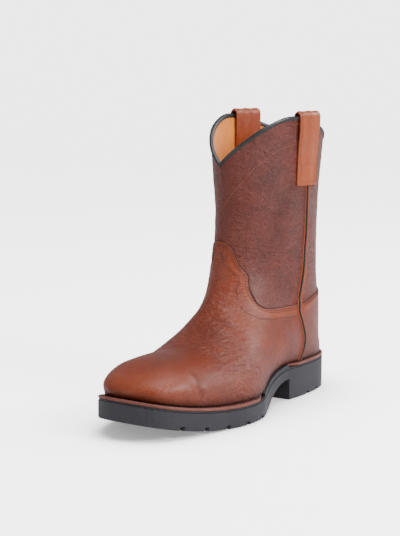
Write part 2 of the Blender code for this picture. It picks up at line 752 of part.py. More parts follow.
def below_collar(points, depth):
    """Points on a layer at the collar's edge and a depth below it."""
    top = points[-1, :-1]
    low = np.empty_like(top)
    for column, point in enumerate(top):
        line = points[-4:, column]
        low[column] = [np.interp(point[2] - depth, line[:, 2], line[:, axis]) for axis in range(3)]
    return top, low


def make_collar_binding():
    """A folded strip over the collar's edge."""
    top, low = below_collar(SKIN, BINDING_DEPTH)
    top_in, low_in = below_collar(leather_layer(-WALL), BINDING_DEPTH)
    normal = COLLAR_NORMALS[:-1]
    near, far = CLEARANCE, CLEARANCE + BINDING_THICKNESS
    roof = 1.5 * CLEARANCE
    ahead = np.roll(top, -1, axis=0) - top
    steep = np.linalg.norm(ahead, axis=1) / np.linalg.norm(ahead[:, :2], axis=1)
    up = np.array([0, 0, 1.0]) * np.maximum(steep, np.roll(steep, 1))[:, None]
    above = roof + BINDING_THICKNESS
    section_line = [(low, far, 0), (top, far, above), (top_in, -far, above), (low_in, -far, 0),
                    (low_in, -near, 0), (top_in, -near, roof), (top, near, roof), (low, near, 0)]
    rings = np.stack([base + normal * out + up * rise for base, out, rise in section_line], axis=1)
    bm = grid(rings, close_path=True)
    turn_points(bm)
    new_object('collar_binding', bm, LEATHER_BLACK)


def make_side_piping(name, side):
    """A raised cord of leather over the side seam, from the welt to the pull strap."""
    foot = float(feather(SIDE_SEAM[0, 1] * SOLE_LENGTH)) + PIPING_HEIGHT
    head = COLLAR_HEIGHT - STRAP_DROP - CLEARANCE
    edge = COUNTER_EDGE[1, 1] * COLLAR_HEIGHT
    rings = []
    for up in np.linspace(foot, head, 28):
        along = float(smooth(SIDE_SEAM, 1, up / COLLAR_HEIGHT)) * SOLE_LENGTH
        lift = 2 * CLEARANCE + OVERLAY_STEP * (1 - float(ramp(edge + CLEARANCE, edge + PIPING_WIDTH, up)))
        ring = []
        for angle in np.linspace(0, math.pi, 6):
            place = along + math.cos(angle) * PIPING_WIDTH / 2
            ring.append(on_skin(side, place, up, lift + math.sin(angle) * PIPING_HEIGHT))
        rings.append(ring)
    bm = grid(rings)
    turn_points(bm)
    new_object(name, bm, LEATHER_BLACK)


def strap_face(side, along, turns):
    """Inner face of a pull strap at one place along the boot: up, over the collar and down."""
    past_binding = BINDING_THICKNESS + 2 * CLEARANCE
    neck = COLLAR_HEIGHT - STRAP_NECK

    def lift(up):
        return CLEARANCE + past_binding * float(ramp(neck - STRAP_WIDTH, neck, up))

    rising = np.linspace(COLLAR_HEIGHT - STRAP_DROP, neck, 8)
    falling = np.linspace(neck, COLLAR_HEIGHT - STRAP_INNER_DROP, 7)
    outer = [on_skin(side, along, up, lift(up)) for up in rising]
    inner = [on_lining(side, along, up, lift(up)) for up in falling]
    centre = (outer[-1] + inner[0]) / 2
    arm = (outer[-1] - inner[0]) / 2
    radius = np.linalg.norm(arm)
    centre[2] = COLLAR_HEIGHT + LOOP_RISE - radius
    over = [centre + arm * math.cos(t) + np.array([0, 0, radius * math.sin(t)])
            for t in np.linspace(0, math.pi, turns)]
    return outer + over + inner


def make_pull_strap(name, side):
    centre = SIDE_SEAM[-1, 1] * SOLE_LENGTH
    places = centre + np.linspace(-0.5, 0.5, 7) * STRAP_WIDTH
    face = np.array([strap_face(side, place, 9) for place in places]).transpose(1, 0, 2)
    normal = np.cross(np.gradient(face, axis=0), np.gradient(face, axis=1))
    normal /= np.linalg.norm(normal, axis=-1, keepdims=True)
    normal *= np.sign(normal[0, 0, 0]) * side
    rings = np.concatenate([face, (face + normal * STRAP_THICKNESS)[:, ::-1]], axis=1)
    bm = grid(rings)
    turn_points(bm)
    new_object(name, bm, LEATHER_STRAP)


def main():
    for obj in list(bpy.data.objects):
        bpy.data.objects.remove(obj)
    make_outsole()
    make_arch_panel()
    make_midsole()
    make_welts()
    make_insole()
    make_upper()
    make_collar_binding()
    for name, side in (('lateral', 1), ('medial', -1)):
        make_side_piping(f'side_piping_{name}', side)
        make_pull_strap(f'pull_strap_{name}', side)


main()
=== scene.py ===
# Western work boot, left foot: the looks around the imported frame.
# A place on the boot is given as (across, along, up): across from the line through heel back and
# toe tip, outer side positive; along from the heel back; up from the floor. All lengths in metres.
import math
import bpy
import bmesh
import numpy as np
from mathutils import Matrix, Vector, noise
from mathutils.bvhtree import BVHTree


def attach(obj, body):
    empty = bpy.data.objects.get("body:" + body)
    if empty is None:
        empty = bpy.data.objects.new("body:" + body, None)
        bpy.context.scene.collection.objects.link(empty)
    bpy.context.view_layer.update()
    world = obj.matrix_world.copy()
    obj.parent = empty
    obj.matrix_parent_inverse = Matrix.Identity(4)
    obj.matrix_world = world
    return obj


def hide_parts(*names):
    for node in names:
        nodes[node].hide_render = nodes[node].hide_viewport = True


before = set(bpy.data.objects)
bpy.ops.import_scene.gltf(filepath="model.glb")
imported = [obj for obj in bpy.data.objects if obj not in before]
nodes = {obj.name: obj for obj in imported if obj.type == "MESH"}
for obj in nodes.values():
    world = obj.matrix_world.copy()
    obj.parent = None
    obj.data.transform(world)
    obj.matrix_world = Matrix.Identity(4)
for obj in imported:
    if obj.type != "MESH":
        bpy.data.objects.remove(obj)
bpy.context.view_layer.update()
mm = 0.001

# the last, the leg and the sole, with the same sizes as the frame; places are shares of the
# sole's length or of the collar's height
last = {
    "soleLength": 305 * mm, "ballWidth": 108 * mm, "heelLength": 94 * mm, "heelHeight": 29.7 * mm,
    "breastHeight": 20 * mm, "foreThickness": 15.7 * mm, "toeSpring": 16.2 * mm, "archFront": 0.54,
    "featherLift": 4.7 * mm, "toeMargin": 9.5 * mm, "heelMargin": 3.5 * mm, "sideMargin": 5 * mm,
    "instep": 91 * mm, "leg": 153.5 * mm, "shaftWidth": 84 * mm, "frontDip": 43 * mm,
    "backDip": 24 * mm, "toeBulge": 2.2 * mm, "wall": 2.2 * mm,
    "ballPlace": 0.672, "springCurve": 1.8, "bedLead": 0.02, "bedFront": 0.59,
    "bulgeBack": 0.885, "bulgeRun": 0.092, "bulgeTop": 0.285,
    "twist": 9.0, "turnAcross": 0.013, "turnAlong": 0.216, "turnLow": 0.226, "turnHigh": 0.528,
}
soleLength = last["soleLength"]
collarHeight = last["foreThickness"] + last["featherLift"] + last["instep"] + last["leg"]
halfShaft = last["shaftWidth"] / 2
gap = 0.3 * mm

# along, fullness and drift of the sole's outline
outlineTable = np.array([
    (0.000, 1.270, 0.0000), (0.035, 1.310, 0.0066), (0.070, 1.200, 0.0100), (0.110, 1.090, 0.0128),
    (0.160, 0.990, 0.0138), (0.220, 0.893, 0.0160), (0.270, 0.802, 0.0215), (0.320, 0.713, 0.0255),
    (0.370, 0.664, 0.0330), (0.430, 0.680, 0.0395), (0.490, 0.785, 0.0425), (0.550, 0.917, 0.0428),
    (0.600, 0.995, 0.0385), (0.650, 1.045, 0.0340), (0.720, 1.070, 0.0260), (0.800, 1.130, 0.0170),
    (0.880, 1.205, 0.0128), (0.930, 1.290, 0.0110), (0.970, 1.350, 0.0075), (1.000, 1.240, 0.0000),
])

# sections from toe tip to collar, each from a low point on the feather or back line to a high
# point on the vamp or front line, as shares of the sizes above
sectionTable = np.array([
    # row, low,  rise,  high,   instep, leg,   hug,  wide,  widest, crown, foot, leanLow, leanHigh
    (0.0, 1.0000, 0.000, 1.0000, 0.000, 0.000, 1.02, 0.000, 0.30, 2.00, 2.00, 0.000, 0.000),
    (0.5, 0.9949, 0.000, 0.9962, 0.066, 0.000, 1.02, 0.000, 0.45, 2.00, 2.20, 0.000, 0.000),
    (1.0, 0.9795, 0.000, 0.9812, 0.130, 0.000, 1.02, 0.000, 0.44, 2.10, 2.30, 0.000, 0.000),
    (2.0, 0.9366, 0.000, 0.9384, 0.240, 0.000, 1.03, 0.000, 0.40, 2.20, 2.30, 0.000, 0.000),
    (3.0, 0.8682, 0.000, 0.8682, 0.360, 0.000, 1.03, 0.000, 0.36, 2.20, 2.30, 0.000, 0.000),
    (4.0, 0.7894, 0.000, 0.7825, 0.420, 0.000, 1.03, 0.000, 0.34, 2.10, 2.30, 0.000, 0.000),
    (5.0, 0.7003, 0.000, 0.6866, 0.465, 0.000, 1.03, 0.000, 0.32, 2.00, 2.30, 0.000, 0.012),
    (6.0, 0.5976, 0.000, 0.5976, 0.608, 0.000, 1.00, 0.039, 0.29, 1.90, 2.20, 0.000, 0.020),
    (7.0, 0.4880, 0.000, 0.5301, 0.798, 0.000, 0.75, 0.296, 0.28, 1.85, 2.20, 0.000, 0.040),
    (8.0, 0.3579, 0.000, 0.4818, 1.000, 0.000, 0.40, 0.591, 0.30, 1.80, 2.20, 0.000, 0.060),
    (9.0, 0.2003, 0.000, 0.4613, 1.000, 0.118, 0.10, 0.861, 0.34, 1.80, 2.20, 0.000, 0.050),
    (10., 0.0634, 0.000, 0.4555, 1.000, 0.239, 0.00, 0.926, 0.38, 1.80, 2.15, 0.000, 0.048),
    (11., 0.0000, 0.000, 0.4524, 1.000, 0.311, 0.00, 0.951, 0.42, 1.82, 2.10, 0.000, 0.048),
    (12., 0.0045, 0.104, 0.4483, 1.000, 0.363, 0.00, 0.939, 0.44, 1.85, 2.00, 0.036, 0.048),
    (13., 0.0237, 0.217, 0.4445, 1.000, 0.415, 0.00, 0.938, 0.45, 1.90, 2.00, 0.060, 0.048),
    (14., 0.0398, 0.347, 0.4411, 1.000, 0.474, 0.00, 0.926, 0.46, 1.92, 2.00, 0.071, 0.048),
    (15., 0.0413, 0.520, 0.4445, 1.000, 0.552, 0.00, 0.939, 0.47, 1.95, 2.00, 0.071, 0.048),
    (16., 0.0308, 0.728, 0.4527, 1.000, 0.643, 0.00, 0.964, 0.48, 1.98, 2.00, 0.071, 0.048),
    (17., 0.0149, 0.923, 0.4630, 1.000, 0.721, 0.00, 0.990, 0.49, 2.00, 2.00, 0.071, 0.048),
])
heelRow, dipRow, collarRow = 11.0, 14.5, 17.0
# round from front (0) to back (1), and the shares of the front and back dips
collarTable = np.array([
    (0.00, 1.00, 0.00), (0.08, 0.81, 0.00), (0.20, 0.52, 0.00), (0.35, 0.19, 0.00), (0.50, 0.00, 0.00),
    (0.62, 0.00, 0.12), (0.75, 0.00, 0.50), (0.88, 0.00, 0.88), (1.00, 0.00, 1.00),
])
# side seam: up as a share of the collar's height, along as a share of the sole's length
seamTable = np.array([
    (0.120, 0.252), (0.136, 0.246), (0.177, 0.228), (0.204, 0.223), (0.230, 0.226), (0.270, 0.238),
    (0.309, 0.246), (0.343, 0.238), (0.400, 0.222), (0.475, 0.208), (0.570, 0.200), (0.762, 0.200),
    (1.000, 0.202),
])


def readTable(table, column, where):
    # a smooth curve through a column of a table
    t, y = table[:, 0], table[:, column]
    step = np.diff(t)
    slope = np.diff(y) / step
    tangent = np.empty_like(y)
    tangent[0], tangent[-1] = slope[0], slope[-1]
    tangent[1:-1] = (slope[:-1] * step[1:] + slope[1:] * step[:-1]) / (step[1:] + step[:-1])
    i = np.clip(np.searchsorted(t, where, side="right") - 1, 0, len(t) - 2)
    h = step[i]
    a = (where - t[i]) / h
    return ((2 * a**3 - 3 * a**2 + 1) * y[i] + (a**3 - 2 * a**2 + a) * h * tangent[i]
            + (3 * a**2 - 2 * a**3) * y[i + 1] + (a**3 - a**2) * h * tangent[i + 1])


def ramp(low, high, value):
    k = np.clip((value - low) / (high - low), 0, 1)
    return k * k * (3 - 2 * k)


def outline(t, inset=(0, 0, 0)):
    # along, middle and half width of the sole's edge, moved in at heel, toe and sides
    t = np.clip(t, 0, 1)
    along = inset[0] + t * (soleLength - inset[0] - inset[1])
    half = (readTable(outlineTable, 1, t) * last["ballWidth"] / 2 - inset[2]) * 2 * np.sqrt(t * (1 - t))
    return along, readTable(outlineTable, 2, t) * soleLength, half


def outlineAt(along, inset):
    return outline((along - inset[0]) / (soleLength - inset[0] - inset[1]), inset)[1:]


feetLine = outline(np.linspace(0, 1, 201))
boxMiddle = ((feetLine[1] + feetLine[2]).max() + (feetLine[1] - feetLine[2]).min()) / 2
featherInset = (last["heelMargin"], last["toeMargin"], last["sideMargin"])


def spring(along):
    # how far the sole lifts from the ball to the toe
    ball = last["ballPlace"] * soleLength
    return last["toeSpring"] * np.clip((along - ball) / (soleLength - ball), 0, 1) ** last["springCurve"]


def bed(along):
    # top of the rubber
    heelEnd, foreEnd = last["heelLength"] - last["bedLead"] * soleLength, last["bedFront"] * soleLength
    down = ramp(heelEnd, foreEnd, along)
    return last["heelHeight"] + (last["foreThickness"] - last["heelHeight"]) * down + spring(along)


def tread(along):
    # underside of the rubber
    arch = last["breastHeight"] * (1 - ramp(last["heelLength"], last["archFront"] * soleLength, along))
    return np.where(along <= last["heelLength"], 0.0, arch) + spring(along)


def feather(along):
    # where the upper meets the welt
    return bed(along) + last["featherLift"]


def featherShare(share):
    return featherInset[0] + share * (soleLength - featherInset[0] - featherInset[1])


# the skin of the upper as fine rows of points: rows between two coarse ones, points from top to
# bottom of a section, and the share of them below its widest place
skinMesh = {"perRow": 5, "around": 64, "below": 0.42}


def section(row, count):
    (low, rise, high, instep, leg, hug, wide, widest, crown, foot,
     leanLow, leanHigh) = [float(readTable(sectionTable, c, row)) for c in range(1, 13)]
    lowAlong = featherShare(min(max(low, 0.0), 1.0))
    middle, featherHalf, lowUp = 0.0, 0.0, float(feather(featherInset[0]))
    if row <= heelRow:
        middle, featherHalf = (float(v) for v in outlineAt(lowAlong, featherInset))
        lowUp = float(feather(lowAlong))
    else:
        lowUp += rise * (collarHeight - lowUp)
    highAlong = featherShare(min(high, 1.0))
    highUp = (last["foreThickness"] + last["featherLift"] + float(spring(highAlong))
              + instep * last["instep"] + leg * last["leg"])
    lowPoint = np.array([middle + leanLow * halfShaft, lowAlong, lowUp])
    highPoint = np.array([leanHigh * halfShaft, highAlong, highUp])
    half = max(hug * featherHalf + wide * halfShaft, featherHalf, 1e-7)
    below = round(skinMesh["below"] * count)
    limit = math.acos(min(featherHalf / half, 1.0))
    swing = np.linspace(limit, 0, below + 1)
    drop = np.sin(swing) / math.sin(limit) if limit > 1e-6 else np.linspace(1, 0, below + 1)
    upper = np.linspace(0, math.pi / 2, count - below + 1)[1:]
    share = np.concatenate([widest * (1 - drop ** (2 / foot)),
                            widest + (1 - widest) * np.sin(upper) ** (2 / crown)])
    width = np.concatenate([half * np.cos(swing), half * np.clip(np.cos(upper), 0, 1) ** (2 / crown)])
    spine = lowPoint + share[:, None] * (highPoint - lowPoint)
    side = np.zeros_like(spine)
    side[:, 0] = width
    return np.concatenate([spine + side, (spine - side)[::-1][1:]])


def turned(points, way=1):
    # the shaft turns inwards about the ankle, and back again with way = -1
    points = np.array(points, dtype=float)
    pivotAcross, pivotAlong = last["turnAcross"] * soleLength, last["turnAlong"] * soleLength
    share = ramp(last["turnLow"] * collarHeight, last["turnHigh"] * collarHeight, points[..., 2])
    angle = way * math.radians(last["twist"]) * share
    across, along = points[..., 0] - pivotAcross, points[..., 1] - pivotAlong
    points[..., 0] = pivotAcross + across * np.cos(angle) - along * np.sin(angle)
    points[..., 1] = pivotAlong + across * np.sin(angle) + along * np.cos(angle)
    return points


def toWorld(points):
    points = np.array(points, dtype=float)
    points[..., 0] -= boxMiddle
    points[..., 1] = soleLength / 2 - points[..., 1]
    return points


def fromWorld(points):
    points = np.array(points, dtype=float)
    points[..., 0] += boxMiddle
    points[..., 1] = soleLength / 2 - points[..., 1]
    return turned(points, -1)


# rows lie closest at the toe tip and where the sole's line turns up the back
coarseRows = np.concatenate([
    [0, 0.25, 0.5, 0.75, 1, 1.33, 1.66], np.arange(2, 10.1, 0.5),
    [10.3, 10.55, 10.75, 10.88, 10.96, 11, 11.5, 12, 12.5], np.arange(13, 17.1, 0.5)])
rows = np.unique(np.concatenate([np.linspace(a, b, skinMesh["perRow"] + 1)
                                 for a, b in zip(coarseRows, coarseRows[1:])]))

# soft troughs (negative) and ridges, in mm: centre, the way it runs, half length,
# half width, height
creases = [
    # the edge of the toe puff, outer and inner side
    ((43, 244, 42), (-0.54, -0.05, 0.84), 22, 5.0, -1.3),
    ((42, 256, 42), (-0.54, -0.05, 0.84), 22, 8.0, 0.6),
    ((-30, 243, 42), (0.45, -0.1, 0.84), 11, 5.0, -1.1),
    # flex of the vamp behind the puff
    ((30, 214, 55), (0.9, -0.1, -0.4), 17, 4.0, -0.40),
    ((28, 203, 58), (0.9, -0.2, -0.4), 18, 4.5, -0.45),
    ((-22, 208, 55), (0.9, 0.1, 0.4), 16, 4.5, -0.40),
    # front of the ankle
    ((18, 166, 82), (0.9, -0.2, -0.4), 20, 5.0, -1.1),
    ((22, 154, 96), (0.9, -0.3, -0.4), 22, 5.5, -1.2),
    ((24, 158, 89), (0.9, -0.3, -0.4), 18, 4.5, 0.60),
    ((-14, 158, 92), (0.9, 0.2, 0.3), 20, 6.0, -0.70),
    ((4, 146, 118), (1.0, 0.0, 0.0), 24, 6.0, -0.60),
    # side of the ankle, above the counter and on the vamp's wing
    ((40, 96, 78), (0.0, 0.9, -0.4), 22, 7.0, -0.60),
    ((38, 120, 62), (0.1, 0.7, -0.7), 20, 8.0, -0.60),
    ((20, 16, 112), (0.9, -0.2, 0.2), 20, 7.0, -0.70),
    ((-22, 18, 118), (0.9, 0.2, -0.1), 20, 7.0, -0.60),
    # the leg, worn a little slack
    ((40, 96, 168), (0.0, -0.2, 1.0), 38, 13.0, -0.90),
    ((34, 118, 205), (0.2, -0.5, 0.8), 24, 9.0, -0.60),
    ((-34, 92, 176), (0.0, 0.2, 1.0), 36, 14.0, -0.90),
    ((30, 24, 190), (0.2, 0.1, 1.0), 40, 12.0, -0.70),
    ((-24, 22, 175), (-0.2, 0.1, 1.0), 40, 12.0, -0.70),
    ((8, 133, 196), (0.1, -0.1, 1.0), 26, 8.0, 0.50),
]
# the leather is held over this much at the welt and the binding, and slack by this much elsewhere
slackLook = {"held": 9 * mm, "size": 27 * mm, "height": 0.35 * mm, "puffFrom": 0.70, "puffTo": 0.80,
             "puffHolds": 0.8}


def relief(points):
    height = np.zeros(points.shape[:-1])
    for centre, way, length, width, depth in creases:
        way = np.array(way) / np.linalg.norm(way)
        apart = points - np.array(centre) * mm
        run = apart @ way
        across = np.linalg.norm(apart - run[..., None] * way, axis=-1)
        height += depth * mm * np.exp(-(run / (length * mm)) ** 2 - (across / (width * mm)) ** 2)
    return height


def slackness(points, size, height):
    waves = [noise.noise(Vector(p) / size) for p in points.reshape(-1, 3)]
    return np.array(waves).reshape(points.shape[:-1]) * height


def normalsOf(points):
    down = np.gradient(points, axis=0)
    around = np.gradient(points, axis=1)
    closed = rows >= heelRow
    wrap = (points[closed, 1] - points[closed, -2]) / 2
    around[closed, 0] = wrap
    around[closed, -1] = wrap
    normal = np.cross(around, down)
    length = np.linalg.norm(normal, axis=-1, keepdims=True)
    normal = normal / np.where(length < 1e-14, 1, length)
    normal[0] = (0, 1, 0)
    return normal


def makeSkin():
    points = np.array([section(row, skinMesh["around"]) for row in rows])
    around = np.abs(np.linspace(-1, 1, points.shape[1]))
    collar = (collarHeight - readTable(collarTable, 1, around) * last["frontDip"]
              - readTable(collarTable, 2, around) * last["backDip"])
    points[..., 2] += ramp(dipRow, collarRow, rows)[:, None] * (collar - points[-1][:, 2])
    along, up = points[..., 1], points[..., 2]
    above = np.clip(up - feather(along), 0, None)
    # the toe stands full above the welt
    front = np.clip((along / soleLength - last["bulgeBack"]) / last["bulgeRun"], 0, 1) ** 2
    full = np.sin(np.pi * np.clip(above / (last["bulgeTop"] * last["instep"]), 0, 1))
    points[..., 1] += last["toeBulge"] * front * full
    normal = normalsOf(points)
    # the relief fades out where the leather is held: at the welt and under the binding
    held = ramp(0, slackLook["held"], above) * ramp(0, slackLook["held"], collar[None, :] - up)
    # the toe is stiffened inside, so only the rest is slack
    stiff = slackLook["puffHolds"] * ramp(slackLook["puffFrom"], slackLook["puffTo"], along / soleLength)
    slack = slackness(points, slackLook["size"], slackLook["height"]) * (1 - stiff)
    points = points + normal * ((relief(points) + slack) * held)[..., None]
    return points, normalsOf(points)


skin, skinNormals = makeSkin()
collarNormals = skinNormals[-1] * (1, 1, 0)
collarNormals /= np.linalg.norm(collarNormals, axis=-1, keepdims=True)
print("skin", skin.shape)


def layer(lift, raised=0.0):
    # the skin moved out by lift, its lower edge raised from the welt
    points = skin + skinNormals * lift
    points[-1] = skin[-1] + collarNormals * lift
    floor = rows <= heelRow
    for column in (0, -1):
        points[floor, column, 2] = skin[floor, column, 2] + raised
    return points


def treeOf(points):
    count, width = points.shape[:2]
    faces = [(i * width + j, i * width + j + 1, (i + 1) * width + j + 1, (i + 1) * width + j)
             for i in range(count - 1) for j in range(width - 1)]
    return BVHTree.FromPolygons([Vector(p) for p in points.reshape(-1, 3)], faces)


outsideTree = treeOf(skin)
insideTree = treeOf(layer(-last["wall"]))


def onSide(side, along, up, lift=0.0):
    start, way = Vector((side * last["ballWidth"], along, up)), Vector((-side, 0, 0))
    place, normal = outsideTree.ray_cast(start, way)[:2]
    normal = -normal if normal.x * side < 0 else normal
    return np.array(place + normal * lift), np.array(normal)


def onFront(across, up, lift=0.0):
    start, way = Vector((across, 1.2 * soleLength, up)), Vector((0, -1, 0))
    place, normal = outsideTree.ray_cast(start, way)[:2]
    normal = -normal if normal.y < 0 else normal
    return np.array(place + normal * lift), np.array(normal)


def inside(side, along, up, lift=0.0):
    start, way = Vector((0.05 * side * last["shaftWidth"], along, up)), Vector((side, 0, 0))
    place, normal = insideTree.ray_cast(start, way)[:2]
    normal = -normal if normal.x * side > 0 else normal
    return np.array(place + normal * lift)


def layGrid(bm, points):
    points = np.asarray(points, dtype=float)
    high, wide = points.shape[:2]
    made = bmesh.ops.create_grid(bm, x_segments=wide - 1, y_segments=high - 1, size=1.0)
    for vert, point in zip(made["verts"], points.reshape(-1, 3)):
        vert.co = point


def ringGrid(bm, rings, closed=False):
    rings = np.asarray(rings, dtype=float)
    rings = np.concatenate([rings, rings[:, :1]], axis=1)
    layGrid(bm, np.concatenate([rings, rings[:1]]) if closed else rings)


def finishPiece(name, bm, material, slot, replaced=(), turn=True, world=True, weld=0.004 * mm, angle=38):
    # closes, places and orients a piece; with a slot it gets its material and smooth shading, hangs on the
    # root body and hides the parts it replaces; a cutter has no slot
    if weld:
        bmesh.ops.remove_doubles(bm, verts=bm.verts, dist=weld)
        bmesh.ops.holes_fill(bm, edges=[e for e in bm.edges if e.is_boundary], sides=0)
    if world:
        points = np.array([tuple(v.co) for v in bm.verts])
        points = toWorld(turned(points)) if turn else toWorld(points)
        for vert, point in zip(bm.verts, points):
            vert.co = point
    bmesh.ops.recalc_face_normals(bm, faces=bm.faces)
    if bm.calc_volume(signed=True) < 0:
        bmesh.ops.reverse_faces(bm, faces=bm.faces)
    data = bpy.data.meshes.new(name)
    bm.to_mesh(data)
    bm.free()
    piece = bpy.data.objects.new(name, data)
    bpy.context.scene.collection.objects.link(piece)
    if slot:
        data.materials.append(material)
        data.shade_smooth()
        data.set_sharp_from_angle(angle=math.radians(angle))
        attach(piece, "root")
        for node in replaced:
            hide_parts(node)
    return piece


def cutBy(piece, cutter, operation):
    modifier = piece.modifiers.new(cutter.name, "BOOLEAN")
    modifier.object = cutter
    modifier.operation = operation
    modifier.solver = "EXACT"


def settled(piece, *helpers):
    # the piece's mesh with its cuts applied, and the helpers removed
    bpy.context.view_layer.update()
    data = bpy.data.meshes.new_from_object(piece.evaluated_get(bpy.context.evaluated_depsgraph_get()))
    bm = bmesh.new()
    bm.from_mesh(data)
    for helper in (piece,) + helpers:
        bpy.data.objects.remove(helper)
    return bm


# colours and materials
def srgb(value):
    value = value.lstrip("#")
    channels = [int(value[i:i + 2], 16) / 255 for i in (0, 2, 4)]
    return tuple(c / 12.92 if c <= 0.04045 else ((c + 0.055) / 1.055) ** 2.4 for c in channels) + (1.0,)


def addNode(tree, kind, inputs=None, links=None, **settings):
    made = tree.nodes.new("ShaderNode" + kind)
    for key, value in settings.items():
        setattr(made, key, value)
    for key, value in (inputs or {}).items():
        made.inputs[key].default_value = value
    for key, source in (links or {}).items():
        tree.links.new(source, made.inputs[key])
    return made


def startMaterial(name, **shaderInputs):
    material = bpy.data.materials.new(name)
    material.use_nodes = True
    tree = material.node_tree
    shader = tree.nodes["Principled BSDF"]
    for key, value in shaderInputs.items():
        shader.inputs[key.replace("_", " ")].default_value = value
    return material, tree, shader


def oiledLeather(name, look):
    # full-grain cowhide, drummed and oiled: pebbled, mottled, with a soft waxy gloss on the high spots
    material, tree, shader = startMaterial(name, Coat_Weight=look["wax"], Coat_Roughness=0.34)
    place = addNode(tree, "TexCoord").outputs["Object"]
    # pebbles of the hide, their rows wandering a little
    drift = addNode(tree, "TexNoise", {"Scale": 1 / (14 * mm), "Detail": 2.0}, {"Vector": place})
    bent = addNode(tree, "MixRGB", {"Fac": 0.0016}, {"Color1": place, "Color2": drift.outputs["Color"]})
    grainMap = addNode(tree, "Mapping", {"Scale": (1.0, 1.0, look["grainStretch"])},
                       {"Vector": bent.outputs[0]})
    pebble = addNode(tree, "TexVoronoi", {"Scale": 1 / look["grain"], "Randomness": 1.0},
                     {"Vector": grainMap.outputs[0]}, feature="DISTANCE_TO_EDGE")
    swell = addNode(tree, "MapRange", {"From Max": 0.32}, {"Value": pebble.outputs["Distance"]},
                    interpolation_type="SMOOTHSTEP")
    # pores, drawn at 0.9 mm so that they show
    pores = addNode(tree, "TexNoise", {"Scale": 1 / (0.9 * mm), "Detail": 3.0, "Roughness": 0.6},
                    {"Vector": place})
    # ripples lying round the foot and leg, where the leather has flexed
    rippleMap = addNode(tree, "Mapping", {"Scale": (1.0, 1.0, look["rippleStretch"])},
                        {"Vector": bent.outputs[0]})
    ripple = addNode(tree, "TexNoise", {"Scale": 1 / look["ripple"], "Detail": 2.5, "Roughness": 0.55,
                                        "Distortion": 0.6}, {"Vector": rippleMap.outputs[0]})
    # the dye has taken unevenly: broad clouds, then paler flecks
    patchy = addNode(tree, "TexNoise", {"Scale": 1 / (34 * mm), "Detail": 4.0, "Roughness": 0.55},
                     {"Vector": place})
    cloud = addNode(tree, "MapRange", {"From Min": 0.34, "From Max": 0.66}, {"Value": patchy.outputs["Fac"]})
    base = addNode(tree, "MixRGB", {"Color1": srgb(look["dark"]), "Color2": srgb(look["light"])},
                   {"Fac": cloud.outputs[0]})
    speckle = addNode(tree, "TexNoise", {"Scale": 1 / (5 * mm), "Detail": 5.0, "Roughness": 0.7},
                      {"Vector": place})
    fleck = addNode(tree, "MapRange", {"From Min": 0.35, "From Max": 0.7, "To Max": look["mottle"]},
                    {"Value": speckle.outputs["Fac"]})
    mottled = addNode(tree, "MixRGB", {"Color2": srgb(look["bloom"])},
                      {"Fac": fleck.outputs[0], "Color1": base.outputs[0]})
    # painted tones: warm wax; a dark tone that is partly burnish and partly painted shade, above the welt,
    # over the instep and in the creases; and near black where it is strongest
    warmth = addNode(tree, "Attribute", attribute_name="warm")
    warmed = addNode(tree, "MixRGB", {"Color2": srgb(look["warm"])},
                     {"Fac": warmth.outputs["Fac"], "Color1": mottled.outputs[0]})
    burnishAndShade = addNode(tree, "Attribute", attribute_name="burnishAndShade")
    burnishShadeColour = addNode(tree, "MixRGB", {"Color2": srgb(look["burnishShadeColour"])},
                    {"Fac": burnishAndShade.outputs["Fac"], "Color1": warmed.outputs[0]})
    # near black where the tone is strongest: a painted shadow in the joint above the welt and along the
    # panels' cut edges
    rim = addNode(tree, "MapRange", {"From Min": 0.8, "To Max": 0.9}, {"Value": burnishAndShade.outputs["Fac"]},
                  interpolation_type="SMOOTHSTEP")
    edged = addNode(tree, "MixRGB", {"Color2": srgb("#080201")},
                    {"Fac": rim.outputs[0], "Color1": burnishShadeColour.outputs[0]})
    # painted shade: the valleys between the pebbles are mixed towards the dark tone
    valley = addNode(tree, "MapRange", {"To Min": look["valley"], "To Max": 0.0}, {"Value": swell.outputs[0]})
    final = addNode(tree, "MixRGB", {"Color2": srgb(look["burnishShadeColour"])},
                    {"Fac": valley.outputs[0], "Color1": edged.outputs[0]})
    tree.links.new(final.outputs[0], shader.inputs["Base Color"])
    gloss = addNode(tree, "MapRange", {"To Min": look["rough"] + 0.08, "To Max": look["rough"] - 0.06},
                    {"Value": speckle.outputs["Fac"]})
    tree.links.new(gloss.outputs[0], shader.inputs["Roughness"])
    dull = addNode(tree, "MapRange", {"To Min": 0.45, "To Max": 0.08}, {"Value": burnishAndShade.outputs["Fac"]})
    tree.links.new(dull.outputs[0], shader.inputs["Specular IOR Level"])
    flex = addNode(tree, "Attribute", attribute_name="flex")
    rolls = addNode(tree, "Bump", {"Distance": look["rippleDepth"]},
                    {"Height": ripple.outputs["Fac"], "Strength": flex.outputs["Fac"]})
    grain = addNode(tree, "Bump", {"Strength": 1.0, "Distance": look["grainDepth"]},
                    {"Height": swell.outputs[0], "Normal": rolls.outputs[0]})
    fine = addNode(tree, "Bump", {"Strength": 1.0, "Distance": 0.06 * mm},
                   {"Height": pores.outputs["Fac"], "Normal": grain.outputs[0]})
    tree.links.new(fine.outputs[0], shader.inputs["Normal"])
    return material


